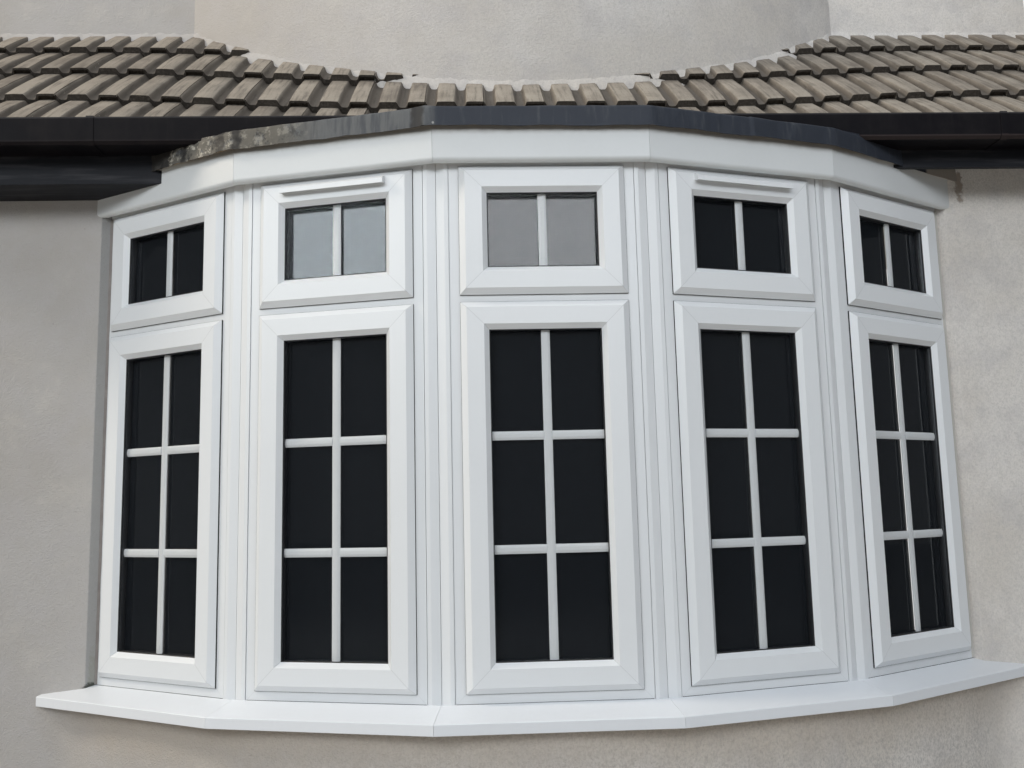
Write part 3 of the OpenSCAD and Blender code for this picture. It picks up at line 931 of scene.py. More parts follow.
@dataclass(frozen=True)
class BlackBoard(Finish):
    """Black painted board with brush marks along it."""

    colour: Colour = (0.018, 0.019, 0.023)
    worn: Colour = (0.048, 0.048, 0.053)

    def coat(self, shader: Shader) -> None:
        """Builds the finish's nodes.

        Args:
            shader: Shader that they are made in.
        """
        streak = shader.grain(0.02, 4, 0.6, along=shader.axes(stretch=(0.08, 1.0, 1.0)))
        colour = shader.mix(streak.rise(0.45, 0.75), self.colour, self.worn)
        shader.finish(colour, streak * 0.2 + 0.45, streak, 0.5 * MM, {SPECULAR: 0.1})


@dataclass(frozen=True)
class GutterPlastic(Finish):
    """Black plastic with a dusty film, paler along its rim, and with a painted highlight along its lower edge
    that grows stronger to the right.
    """

    colour: Colour = (0.007, 0.0062, 0.008)
    dust: Colour = (0.025, 0.022, 0.022)
    # Paler colour along the rim.
    pale_rim: Colour = (0.07, 0.066, 0.068)
    # Painted highlight along the lower edge of the front.
    foot: Colour = (0.042, 0.032, 0.031)
    rim_z: Pair = (2.680, 2.684)
    foot_z: Pair = (2.618, 2.615)

    def coat(self, shader: Shader) -> None:
        """Builds the finish's nodes.

        Args:
            shader: Shader that they are made in.
        """
        x, _, z = shader.split(shader.axes())
        _, ny, _ = shader.facing()
        film = shader.grain(0.12, 4, 0.6)
        runs = shader.grain(0.02, 3, 0.6, along=shader.axes(stretch=(1.0, 1.0, 0.15)), seed=5.0)
        colour = shader.mix(film.rise(0.4, 0.75) * 0.4 + runs.rise(0.5, 0.8) * 0.2, self.colour, self.dust)
        # Paler along the rim.
        colour = shader.mix(z.rise(*self.rim_z) * (film * 0.6 + 0.3), colour, self.pale_rim)
        # Painted highlight along the lower edge of the front, stronger to the right.
        foot = z.rise(*self.foot_z) * ny.rise(-0.3, -0.6) * (x.rise(-0.5, 0.5) * 0.65 + 0.2)
        colour = shader.mix(foot, colour, self.foot)
        shader.finish(colour, film * 0.25 + 0.35, runs, 0.2 * MM, {SPECULAR: 0.06})


@dataclass(frozen=True)
class SawnTimber(Finish):
    """Sawn softwood with its grain along x."""

    light: Colour = (0.58, 0.44, 0.28)
    dark: Colour = (0.40, 0.27, 0.15)

    def coat(self, shader: Shader) -> None:
        """Builds the finish's nodes.

        Args:
            shader: Shader that they are made in.
        """
        along = shader.axes(stretch=(0.06, 1.0, 1.0))
        rings = shader.grain(0.012, 4, 0.6, along=along)
        colour = shader.mix(rings.rise(0.3, 0.75), self.light, self.dark)
        shader.finish(colour, 0.75, rings, 0.8 * MM)


@dataclass(frozen=True)
class WallPlaster(Finish):
    """Matt painted plaster."""

    colour: Colour = (0.82, 0.81, 0.785)

    def coat(self, shader: Shader) -> None:
        """Builds the finish's nodes.

        Args:
            shader: Shader that they are made in.
        """
        broad = shader.grain(0.5, 3)
        colour = shader.mix(broad.rise(0.3, 0.8) * 0.2, self.colour, dimmed(self.colour, 0.93))
        shader.finish(colour, 0.8, shader.grain(0.004, 2), 0.15 * MM, {SPECULAR: 0.2})


@dataclass(frozen=True)
class SoftSeal(Finish):
    """Rubber or silicone, with a fine matt skin."""

    colour: Colour
    roughness: float = 0.55

    def coat(self, shader: Shader) -> None:
        """Builds the finish's nodes.

        Args:
            shader: Shader that they are made in.
        """
        fine = shader.grain(0.006, 3)
        colour = shader.mix(fine.rise(0.4, 0.8) * 0.5, self.colour, dimmed(self.colour, 0.8))
        shader.finish(colour, fine * 0.15 + self.roughness, fine, 0.1 * MM)


@dataclass(frozen=True)
class OldSealant(Finish):
    """White sealant, with brown painted shade on the left of the bow."""

    colour: Colour = (0.52, 0.50, 0.46)
    left_shade: Colour = (0.20, 0.175, 0.165)

    def coat(self, shader: Shader) -> None:
        """Builds the finish's nodes.

        Args:
            shader: Shader that they are made in.
        """
        x, _, _ = shader.split(shader.axes())
        fine = shader.grain(0.006, 3)
        # Painted shade on the beads on the left of the bow.
        dirty = x.rise(0.1, -0.1) * (shader.grain(0.03, 3, seed=3.0) * 0.4 + 0.7)
        shader.finish(shader.mix(dirty, self.colour, self.left_shade), fine * 0.15 + 0.55, fine, 0.1 * MM)


@dataclass(frozen=True)
class SpacerMetal(Finish):
    """Folded metal spacer with its rows of small holes."""

    colour: Colour = (0.11, 0.113, 0.12)
    hole: Colour = (0.03, 0.03, 0.03)

    def coat(self, shader: Shader) -> None:
        """Builds the finish's nodes.

        Args:
            shader: Shader that they are made in.
        """
        holes = shader.cells(0.003).rise(0.25, 0.2)
        colour = shader.mix(holes * 0.5, self.colour, self.hole)
        shader.finish(colour, shader.grain(0.02, 2) * 0.2 + 0.3, holes, 0.1 * MM, {"Metallic": 0.8})


@dataclass(frozen=True)
class BarLayout:
    """Places of the glazing bars in one light's axes."""

    x: float
    heights: tuple[float, ...]
    width: float
    lean: float


@dataclass
class Light:
    """One side of the bow with its two sashes and their sealed units."""

    place: Place
    sash_width: float = 78 * MM
    bar_width: float = 24 * MM
    bar_thick: float = 9 * MM
    bar_chamfer: float = 7 * MM
    bar_lean: float = 4.5 * MM
    bar_reach: float = 8 * MM
    bar_play: float = 0.15 * MM
    lower_bar_drop: float = 5 * MM
    upper_bar_lift: float = 4 * MM
    pane: float = 4.2 * MM
    spacer_wide: float = 6.5 * MM
    spacer_hidden: float = 5 * MM
    seal: float = 3 * MM
    axes: Matrix = field(init=False)
    fanlight: Box = field(init=False)
    casement: Box = field(init=False)
    outer: Box = field(init=False)
    glass: Box = field(init=False)

    def __post_init__(self) -> None:
        """Reads the light's boxes from the frame."""
        self.axes = BOW.axes_of(self.place)
        self.fanlight = BOW.box_of(f"fanlight_sash_{self.place.label}", self.place)
        self.casement = BOW.box_of(f"casement_sash_{self.place.label}", self.place)
        self.outer = BOW.box_of(f"outer_frame_{self.place.label}", self.place)
        self.glass = BOW.box_of(f"glazing_{self.place.label}", self.place)

    @property
    def cavity(self) -> float:
        """Depth of the middle of the sealed units."""
        return self.glass.middle.y

    def openings(self) -> tuple[Box, Box]:
        """Glass seen inside the fanlight and inside the casement."""
        return self.fanlight.shrunk(self.sash_width), self.casement.shrunk(self.sash_width)

    def bars(self) -> BarLayout:
        """One upright bar in both units, and two level bars that divide the casement in three.

        Returns:
            Places of the bars.
        """
        tall = self.openings()[1]
        third = (tall.high.z - tall.low.z) / 3
        heights = (tall.low.z + third - self.lower_bar_drop, tall.low.z + 2 * third + self.upper_bar_lift)
        lean = (self.place.value - Place.CENTRE.value) * self.bar_lean
        return BarLayout(tall.middle.x, heights, self.bar_width, lean)

    def bar_outline(self) -> list[Pair]:
        """Section of a bar: a flat face between two chamfers, on both sides.

        Returns:
            Points as (depth, sideways).
        """
        half, thick = self.bar_width / 2, self.bar_thick / 2
        flat, sunk = half - self.bar_chamfer, -thick + 0.4 * MM
        quarter = [(-thick, flat), (sunk, flat), (sunk, flat + 0.5 * MM), (-0.25 * thick, half)]
        back = [(-d, h) for d, h in reversed(quarter)]
        right = quarter + back
        return right + [(d, -h) for d, h in reversed(right)]

    def make_bars(self, material: Material) -> bpy.types.Object:
        """Glazing bars between the panes; the level ones butt against the upright.

        Args:
            material: Its finish.

        Returns:
            The finished piece.
        """
        work = Workpiece()
        layout = self.bars()
        outline = [(d + self.cavity, h) for d, h in self.bar_outline()]
        reach, half = self.bar_reach, self.bar_width / 2 + self.bar_play
        for opening in self.openings():
            work.bar_z(outline, layout.x, opening.low.z - reach, opening.high.z + reach)
        tall = self.openings()[1]
        for z in layout.heights:
            work.bar_x(outline, tall.low.x - reach, layout.x - half, z)
            work.bar_x(outline, layout.x + half, tall.high.x + reach, z)
        return work.tidy().place(self.axes).piece(f"glazing_bars_{self.place.label}", material, Slot.FRAME)

    def make_spacers(self, material: Material) -> bpy.types.Object:
        """Spacer bar round the edge of each sealed unit.

        Args:
            material: Its finish.

        Returns:
            The finished piece.
        """
        work = Workpiece()
        out, back = self.glass.low.y + self.pane, self.glass.high.y - self.pane
        wide, flat, fold = self.spacer_wide, self.spacer_wide - MM, 2 * MM
        section = [(0, out), (flat, out), (wide, out + fold), (wide, back - fold), (flat, back), (0, back)]
        for opening in self.openings():
            work.ring(opening.shrunk(-self.spacer_hidden), section)
        return work.tidy().place(self.axes).piece(f"spacers_{self.place.label}", material, Slot.FRAME)

    def make_seals(self, material: Material) -> bpy.types.Object:
        """Black seals: at the glass on both faces, round the lip of each sash and under the frame; the last
        two are partly gaskets and partly painted shadow lines.

        Args:
            material: Its finish.

        Returns:
            The finished piece.
        """
        work = Workpiece()
        face, back = self.glass.low.y - 0.05 * MM, self.glass.high.y + 0.05 * MM
        slant, wide = 0.7 * self.seal, self.seal + MM
        out, deep = face - 1.95 * MM, back + 2.95 * MM
        outside = [(0, face), (0, out), (slant, out), (wide, face - 0.45 * MM), (wide, face)]
        inside = [(0, back), (wide, back), (wide, back + 0.55 * MM), (slant, deep), (0, deep)]
        for opening in self.openings():
            work.ring(opening.shrunk(-MM), outside)
            work.ring(opening.shrunk(-MM), inside)
        # Gasket round each sash, made flush so that it also stands as the painted shadow at the sash's edge.
        lip = [(across * MM, depth * MM) for across, depth in
               ((0, -0.6), (0, 3.9), (3, 3.9), (3, 2.1), (0.4, 2.1), (0.4, -0.6))]
        for sash in (self.fanlight, self.casement):
            work.ring(sash.shrunk(-0.5 * MM), lip)
        # Strip under the frame: a gasket that also stands as the painted shadow line on the sill.
        foot = self.outer.low + Vector((2 * MM, 0, 0.2 * MM))
        near, far = foot.y - 0.4 * MM, foot.y + 0.5 * MM
        line = [(near, 0), (far, 0), (far, 2.6 * MM), (near, 2.6 * MM)]
        work.bar_x(line, foot.x, self.outer.high.x - 2 * MM, foot.z)
        return work.tidy().place(self.axes).piece(f"seals_{self.place.label}", material, Slot.HANDLE)

    def dress(self, plastic: WindowPlastic, glass: PaneGlass) -> None:
        """Gives the light's CAD nodes their finishes.

        Args:
            plastic: Finish of frame and sashes.
            glass: Finish of the panes.
        """
        faint = replace(plastic, joint_dark=0.2)
        rings = {"fanlight_sash": (self.fanlight, plastic), "casement_sash": (self.casement, plastic),
                 "outer_frame": (self.outer, faint)}
        for kind, (ring, look) in rings.items():
            name = f"{kind}_{self.place.label}"
            dress(name, look.material(f"plastic_{name}", ring, self.axes))
        name = f"glazing_{self.place.label}"
        dress(name, glass.material(f"glass_{self.place.label}", self.axes, self.cavity, self.bars()))


@dataclass(frozen=True)
class TileShape:
    """Interlocking tile with two flat-topped rolls; at its nose one is filled and the other is open.

    Places across it, such as joint, roll_span and open_middle, are in rolls from its left edge. The
    thickness at its nose is thick, of which the pan and the open roll's mouth have a share.
    """

    roll_pitch: float = 98.75 * MM
    roll: float = 18 * MM
    joint: float = 0.014
    roll_span: Pair = (0.4, 0.995)
    second_roll: float = 1.1
    open_middle: float = 1.725
    length: float = 0.36
    gauge: float = 0.302
    shell: float = 9 * MM
    thick: float = 23.5 * MM
    nose_long: float = 61 * MM
    pan_share: float = 0.85
    mouth_share: float = 0.3
    mouth_deep: float = 12.5 * MM

    def section(self) -> list[Pair]:
        """Top of the tile across its two rolls.

        Returns:
            Points as (rolls from its left edge, height).
        """
        bends = ((0.0, 1.0), (0.03, 0.86), (0.085, 0.3), (0.13, 0.06), (0.18, 0.0), (0.30, 0.0),
                 (0.345, 0.07), (0.385, 0.42), (0.42, 0.92), (0.45, 1.0), (0.72, 1.03))
        points = [(k + share, height * self.roll) for k in range(2) for share, height in bends]
        return [(self.joint, 0.93 * self.roll)] + points[1:] + [(2 - self.joint, self.roll)]

    def stations(self) -> list[Pair]:
        """Places along the tile, close together at its rounded nose.

        Returns:
            Points as (distance from the nose, height over the tile's top).
        """
        flat = (5 * MM, 0.012, 0.013, 0.06, 0.062, 0.11, 0.16, 0.21, 0.26, self.gauge, self.length)
        return [(0.0, -1.0 * MM), (1.2 * MM, -0.2 * MM)] + [(along, 0.0) for along in flat]

    def depth(self, share: float, along: float) -> float:
        """Thickness of the tile.

        Args:
            share: Rolls from the tile's left edge.
            along: Distance from its nose.

        Returns:
            Thickness.
        """
        start, end = self.roll_span
        if along > self.nose_long:
            return self.shell
        if not start < (share - self.joint) % 1 < end:
            return self.pan_share * self.thick
        mouth = share > self.second_roll and along < self.mouth_deep
        return self.mouth_share * self.thick if mouth else self.thick


@dataclass
class TiledRoof:
    """Tiles in courses that sag towards the bow, cut where they meet the walls.

    Sizes that end in _in are distances behind the bow's glass face, and noses are places up the slope.
    """

    shape: TileShape = TileShape()
    pitch: float = ROOF_PITCH
    edge_in: float = 222 * MM
    edge_z: float = 2698 * MM
    lift: float = -9 * MM
    noses: tuple[float, ...] = (0.0, 0.240, 0.547, 0.829)
    open_roll: float = 0.014
    tilt: float = 23 * MM
    camber: float = 4 * MM
    sag: float = 0.105
    sag_span: Pair = (0.5, 1.6)
    half: float = 2.11
    upper_in: float = 1.0
    round_in: float = 0.505
    round_r: float = 1.922
    eaves_lap: float = 4 * MM
    wall_lap: float = 12 * MM
    round_lap: float = 14 * MM
    crept: float = 34 * MM
    crept_x: float = -0.76
    crept_wide: float = 0.42
    chip: float = 1.3 * MM
    chip_long: float = 10 * MM
    uneven: float = 0.4 * MM
    slip: float = 2.5 * MM
    raised: Pair = (-0.6 * MM, 1.2 * MM)
    skew: float = 0.006
    seed: int = 12

    @property
    def axes(self) -> Matrix:
        """Axes of the slope: x along the eaves, y up the slope, z out of it."""
        foot = Matrix.Translation((0, BOW.glass_y + self.edge_in, self.edge_z + self.lift))
        return foot @ Matrix.Rotation(self.pitch, 4, "X")

    @property
    def round_centre(self) -> Vector:
        """Centre of the upper curved wall in plan."""
        return Vector((0, BOW.glass_y + self.round_in + self.round_r, 0))

    def drift(self, x: float) -> float:
        """How far the columns of tiles have crept to the right."""
        return self.crept * math.exp(-((x - self.crept_x) / self.crept_wide) ** 2)

    def settled(self, spot: Vector, course: int, along: float) -> Vector:
        """A point of a tile after the roof has sagged and the tile has crept and chipped.

        Args:
            spot: The point on a straight roof, in the slope's axes.
            course: Number of the tile's course from the eaves.
            along: Distance from the tile's nose.

        Returns:
            The point in the model's axes.
        """
        sag = self.sag * (1 - ease(abs(spot.x), *self.sag_span))
        chip = wobble(spot, 0.02, 3.0 + course) * self.chip if along < self.chip_long else 0.0
        uneven = wobble(spot, 0.06, 8.0) * self.uneven
        return self.axes @ (spot + Vector((self.drift(spot.x), chip - sag, uneven)))

    def tile(self, work: Workpiece, chance: random.Random, x: float, course: int) -> None:
        """One tile, cut where it meets the walls, the eaves or the end of the roof.

        Args:
            work: Mesh that it goes into.
            chance: Source of the small irregularities.
            x: Left edge of the tile.
            course: Number of its course from the eaves.
        """
        floats = work.bm.verts.layers.float
        layers = [floats.get(name) or floats.new(name) for name in ("across", "along", "tone")]
        shape = self.shape
        nose = self.noses[course]
        reach = (self.noses[course + 1] if course + 1 < len(self.noses) else nose + shape.gauge) - nose
        top = shape.section()
        slip = chance.uniform(-self.slip, self.slip)
        raise_by = chance.uniform(*self.raised)
        skew = chance.uniform(-self.skew, self.skew)
        shade = chance.random()
        rings = []
        for along, drop in shape.stations():
            t = min(1.0, along / reach)
            bend = 4 * self.camber * t * (1 - t) - self.tilt * along / reach + drop + raise_by
            ring = []
            for lower, run in ((False, top), (True, list(reversed(top)))):
                for share, height in run:
                    down = shape.depth(share, along) if lower else 0.0
                    up_slope = nose + along + slip + skew * (share - 1) * shape.roll_pitch
                    spot = Vector((x + share * shape.roll_pitch, up_slope, height + bend - down))
                    vert = work.bm.verts.new(self.settled(spot, course, along))
                    for layer, value in zip(layers, (share, along, shade)):
                        vert[layer] = value
                    ring.append(vert)
            rings.append(ring)
        count = len(rings[0])
        faces = work.tube(rings)
        for ring in (rings[0], rings[-1]):
            for i in range(len(top) - 1):
                corners = (ring[i], ring[i + 1], ring[count - 2 - i], ring[count - 1 - i])
                faces.append(work.bm.faces.new(corners))
        self.trim(work, faces, x + shape.roll_pitch)

    def trim(self, work: Workpiece, faces: list[bmesh.types.BMFace], x: float) -> None:
        """Cuts one tile by the eaves, the ends, the flat wall and the curved wall.

        Args:
            work: Mesh that the tile is part of.
            faces: Faces of the tile.
            x: Middle of the tile.
        """
        outward = (self.axes.to_3x3() @ Vector((0, -1, 0))).normalized()
        planes = [(self.axes @ Vector((0, -self.eaves_lap, 0)), outward)]
        planes += [(Vector((s * self.half, 0, 0)), Vector((s, 0, 0))) for s in (-1, 1)]
        planes.append((Vector((0, BOW.glass_y + self.upper_in + self.wall_lap, 0)), Vector((0, 1, 0))))
        if abs(x) < self.edge_half + 0.02:
            radial = plan_direction(math.asin(x / self.round_r))
            planes.append((self.round_centre + radial * (self.round_r - self.round_lap), -radial))
        for point, normal in planes:
            alive = [f for f in faces if f.is_valid]
            verts = list(dict.fromkeys(v for f in alive for v in f.verts))
            if not any((v.co - point).dot(normal) > 0 for v in verts):
                continue
            edges = list(dict.fromkeys(e for f in alive for e in f.edges))
            before = set(work.bm.faces)
            work.cut(verts + edges + alive, point, normal)
            faces = [f for f in alive if f.is_valid] + [f for f in work.bm.faces if f not in before]

    def make(self, material: Material) -> bpy.types.Object:
        """All tiles.

        Args:
            material: Its finish.

        Returns:
            The finished piece.
        """
        work = Workpiece()
        chance = random.Random(self.seed)
        cover = 2 * self.shape.roll_pitch
        first = self.open_roll - self.shape.open_middle * self.shape.roll_pitch
        start = first - math.ceil((first + self.half) / cover + 0.2) * cover
        for course in range(len(self.noses)):
            for k in range(int((2 * self.half) / cover) + 3):
                x = start + k * cover
                if x < self.half and x + cover > -self.half:
                    self.tile(work, chance, x, course)
        made = work.tidy().piece("roof_tiles", material, Slot.TILE, 38.0)
        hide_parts("tiled_roof")
        return made

    def wall_line(self) -> list[tuple[Vector, Vector]]:
        """Line in plan along which the upper walls meet the slope.

        Returns:
            Its points, each with the direction out of the wall.
        """
        edge = math.asin(self.edge_half / self.round_r)
        flat_y = BOW.glass_y + self.upper_in
        flat_steps, arc_steps = 70, 150
        stride = (self.half - self.edge_half) / flat_steps
        left, right = ([(Vector((side * (self.half - k * stride), flat_y, 0)), Vector((0, -1, 0)))
                        for k in range(flat_steps + 1)] for side in (-1, 1))
        arc = []
        for k in range(-arc_steps, arc_steps + 1):
            radial = plan_direction(edge * k / arc_steps)
            arc.append((self.round_centre + radial * self.round_r, radial))
        return left + arc + right[::-1]

    @property
    def edge_half(self) -> float:
        """Half the width of the upper curved wall at the flat wall's face."""
        behind = self.round_centre.y - BOW.glass_y - self.upper_in
        return math.sqrt(self.round_r ** 2 - behind ** 2)

    def height_at(self, point: Vector) -> float:
        """Height of the slope's upper face over a point of the plan."""
        return self.edge_z + self.lift + (point.y - BOW.glass_y - self.edge_in) * math.tan(self.pitch)


@dataclass(frozen=True)
class MortarFillet:
    """Ragged mortar along the foot of the upper walls."""

    roof: TiledRoof
    wide: float = 13 * MM
    tall: float = 5 * MM
    rough: float = 8 * MM
    crumbs: float = 6 * MM
    hidden: float = 10 * MM
    deep: float = 45 * MM

    def make(self, material: Material) -> bpy.types.Object:
        """The whole fillet.

        Args:
            material: Its finish.

        Returns:
            The finished piece.
        """
        work = Workpiece()
        loops = []
        for place, out in self.roof.wall_line():
            crumbs = self.crumbs * wobble(place, 0.018, 9.0)
            wide = self.wide + self.rough * wobble(place, 0.05, 5.0, 4) + crumbs
            tall = self.tall + self.rough * wobble(place, 0.03, 13.0, 4)
            edge = tall + 11 * MM
            section = ((-self.hidden, -self.deep), (-self.hidden, edge + MM), (2 * MM, edge),
                       (0.4 * wide, tall), (wide, -6 * MM), (wide + 2 * MM, -self.deep))
            ring = []
            for across, up in section:
                p = place + out * across
                p.z = self.roof.height_at(p) + up
                ring.append(work.bm.verts.new(p))
            loops.append(ring)
        work.tube(loops)
        work.bm.faces.new(loops[0])
        work.bm.faces.new(loops[-1])
        return work.tidy().piece("mortar_fillet", material, Slot.RENDER, 40.0)


@dataclass(frozen=True)
class WallCorners:
    """Upright wedges of wall that fill the corners between the upper flat walls and the upper curved wall."""

    turn: float = math.radians(42)
    wall: float = 280 * MM
    play: float = 0.3 * MM
    foot: float = 2711 * MM
    top: float = 3549 * MM

    def make(self, material: Material) -> bpy.types.Object:
        """Both wedges.

        Args:
            material: Its finish.

        Returns:
            The finished piece.
        """
        work = Workpiece()
        roof = TiledRoof()
        flat_y = BOW.glass_y + roof.upper_in
        back_y = flat_y + self.wall
        start = math.asin(roof.edge_half / roof.round_r)
        rim = roof.round_r - self.play
        end = math.acos((roof.round_centre.y - back_y + self.play) / rim)
        steps = 8
        inner_x = (roof.round_centre.y - back_y) * math.tan(self.turn)
        for side in (-1, 1):
            outline = [roof.round_centre + plan_direction(side * self.turn) * roof.round_r]
            outline.append(Vector((side * roof.edge_half, flat_y, 0)))
            outline += [roof.round_centre + plan_direction(side * (start + (end - start) * k / steps)) * rim
                        for k in range(1, steps + 1)]
            outline.append(Vector((side * inner_x, back_y - self.play, 0)))
            work.prism([p + Vector((0, 0, self.foot)) for p in outline], Vector((0, 0, self.top - self.foot)))
        return work.tidy().piece("upper_wall_corners", material, Slot.RENDER)


@dataclass(frozen=True)
class Station:
    """A place along the roof's edge."""

    place: Place
    base: Vector
    push: Vector


@dataclass
class LeadSheet:
    """Dressed lead over the bow's roof edge, lumpy, with laps and a wavy lower edge.

    The edge stands out from the glass line; flat_rows are the rows of points behind it on the top.
    """

    out: float = 49 * MM
    top_z: float = 2615 * MM
    foot_z: float = 2558 * MM
    bend: float = 9 * MM
    slope: float = math.radians(3)
    edge_rise: float = math.radians(4.3)
    wall_y: float = 0.435
    step: float = 7 * MM
    flat_rows: tuple[float, ...] = (0.15, 0.11, 0.08, 0.055, 0.035, 0.02)
    rows: int = 6
    flare: float = 1.5 * MM
    laps: tuple[float, ...] = (-0.36, 0.62)
    lap_thick: float = 2.6 * MM
    lap_long: float = 90 * MM
    knob: float = 6 * MM
    knob_x: float = -0.325
    knob_wide: float = 14 * MM
    play: float = 2.4 * MM
    crust: float = 8.5 * MM
    foot_drop: float = 2.5 * MM
    thick: float = 1.8 * MM

    def wall_end(self, place: Place, out: float) -> Vector:
        """Where the edge of an end side runs into the house wall.

        Args:
            place: The end side.
            out: How far the glass line is pushed out.

        Returns:
            The point at height 0.
        """
        axes = BOW.axes_of(place)
        start = axes @ Vector((0, -out, 0))
        along = axes.to_3x3() @ Vector((1, 0, 0))
        return start + along * ((BOW.glass_y + self.wall_y - start.y) / along.y)

    def stations(self) -> list[Station]:
        """Places along the roof's edge.

        Returns:
            The places, left to right.
        """
        marks = [(BOW.corner(n, 0.0), BOW.corner(n, 1.0)) for n in (-1.5, -0.5, 0.5, 1.5)]
        marks.insert(0, (self.wall_end(Place.FAR_LEFT, 0.0), self.wall_end(Place.FAR_LEFT, 1.0)))
        marks.append((self.wall_end(Place.FAR_RIGHT, 0.0), self.wall_end(Place.FAR_RIGHT, 1.0)))
        made = []
        for place, (a, far_a), (b, far_b) in zip(Place, marks, marks[1:]):
            count = round((b - a).length / self.step)
            last = count + (place is Place.FAR_RIGHT)
            for k in range(last):
                t = k / count
                made.append(Station(place, a.lerp(b, t), (far_a - a).lerp(far_b - b, t)))
        return made

    def rise(self, station: Station, point: Vector, out: float) -> float:
        """Extra height of the roof on its end sides, which climb towards the wall.

        Args:
            station: Place along the edge.
            point: Point of the sheet there.
            out: How far the point is from the glass line.

        Returns:
            Height to add.
        """
        if station.place not in (Place.FAR_LEFT, Place.FAR_RIGHT):
            return 0.0
        local = BOW.axes_of(station.place).inverted() @ point
        beyond = abs(local.x) - (BOW.radius + out) * math.tan(BOW.turn / 2)
        return max(0.0, beyond) * math.tan(self.edge_rise)

    def section(self) -> list[Triple]:
        """Section of the sheet from back to foot.

        Returns:
            Points as (out, height, looseness of the sheet there).
        """
        rows = [(self.out - back, self.top_z + (back - self.bend) * math.tan(self.slope), 0.35)
                for back in self.flat_rows]
        for k in range(self.rows):
            share = k / (self.rows - 1)
            angle = math.radians(90 * share)
            back, down = self.bend * (1 - math.sin(angle)), self.bend * (1 - math.cos(angle))
            rows.append((self.out - back, self.top_z - down, 0.5 + 0.5 * share))
        corner_z = self.top_z - self.bend
        for k in range(self.rows):
            share = (k + 1) / self.rows
            rows.append((self.out + self.flare * share, corner_z - (corner_z - self.foot_z) * share, 1.0))
        return rows

    def lumps(self, point: Vector, loose: float) -> float:
        """How far the sheet stands out of its flat place.

        Args:
            point: Point of the flat sheet.
            loose: Looseness of the sheet there.

        Returns:
            The distance.
        """
        x = point.x
        left = ease(-x, 0.55, 1.25)
        tall = Vector((point.x, point.y, point.z * 0.45))
        broad = wobble(tall, 0.085, 2.0) * (1.5 + 2.4 * left)
        dents = (broad + wobble(tall, 0.028, 6.0) * (0.7 + 1.5 * left)) * MM
        crust = max(0.0, wobble(point, 0.035, 14.0, 4)) * self.crust * left
        lap = sum(self.lap_thick * (1 - ease(x - at, 0.0, self.lap_long)) for at in self.laps if x > at)
        knob = self.knob * math.exp(-((x - self.knob_x) / self.knob_wide) ** 2)
        return self.play + (dents + crust) * loose + lap + knob * loose

    def make(self, material: Material) -> bpy.types.Object:
        """The sheet as a thin shell over the plain lead.

        Args:
            material: Its finish.

        Returns:
            The finished piece.
        """
        work = Workpiece()
        section = self.section()
        bend_row = len(self.flat_rows) - 1
        corner_row = bend_row + self.rows
        grid = []
        for station in self.stations():
            x = Vector((station.base.x, 0, 0))
            edge = (wobble(x, 0.16, 4.0) * 3.2 + wobble(x, 0.045, 11.0) * 1.4) * MM
            column = []
            for row, (out, z, loose) in enumerate(section):
                point = station.base + station.push * out
                point.z = z + self.rise(station, point, out)
                swell = self.lumps(point, loose)
                turn = ease(row, bend_row, corner_row)
                point += station.push * (swell * turn)
                hang = max(0.0, (row - corner_row) / self.rows)
                point.z += swell * (1 - turn) + (edge - self.foot_drop) * hang
                column.append(work.bm.verts.new(point))
            grid.append(column)
        for a, b in zip(grid, grid[1:]):
            for i in range(len(section) - 1):
                work.bm.faces.new((a[i], b[i], b[i + 1], a[i + 1]))
        bmesh.ops.recalc_face_normals(work.bm, faces=work.bm.faces)
        if sum(f.normal.y for f in work.bm.faces) > 0:
            bmesh.ops.reverse_faces(work.bm, faces=work.bm.faces)
        bmesh.ops.solidify(work.bm, geom=work.bm.faces[:], thickness=self.thick)
        return work.tidy().piece("lead_dressing", material, Slot.LEAD, 50.0)


@dataclass
class GutterBrackets:
    """Straps that hold the gutter, hooked over its rim; front and back are behind the bow's glass face."""

    front: float = 172 * MM
    back: float = 281 * MM
    rim_z: float = 2686 * MM
    foot_z: float = 2604 * MM
    thick: float = 2.2 * MM
    wide: float = 22 * MM
    play: float = 0.4 * MM
    hook: float = 8 * MM
    bevel: float = 1.0 * MM
    places: tuple[float, ...] = (-1.94, -1.33, 1.46, 2.0)

    def make(self, material: Material) -> bpy.types.Object:
        """All straps.

        Args:
            material: Its finish.

        Returns:
            The finished piece.
        """
        work = Workpiece()
        sides = []
        for away, bevel in ((self.play, 0.0), (self.play + self.thick, self.bevel)):
            hook_y, front_y = self.front + self.hook, self.front - away
            top_z, under_z = self.rim_z + away, self.foot_z - away
            sides.append([(hook_y, top_z), (front_y, top_z), (front_y + 4 * MM, self.foot_z + 8 * MM - bevel),
                          (self.front + 14 * MM - bevel, under_z), (self.back - 8 * MM, under_z)])
        outline = [(BOW.glass_y + y, z) for y, z in sides[0] + sides[1][::-1]]
        for x in self.places:
            work.bar_x(outline, x - self.wide / 2, x + self.wide / 2, 0.0)
        return work.tidy().piece("gutter_brackets", material, Slot.GUTTER)


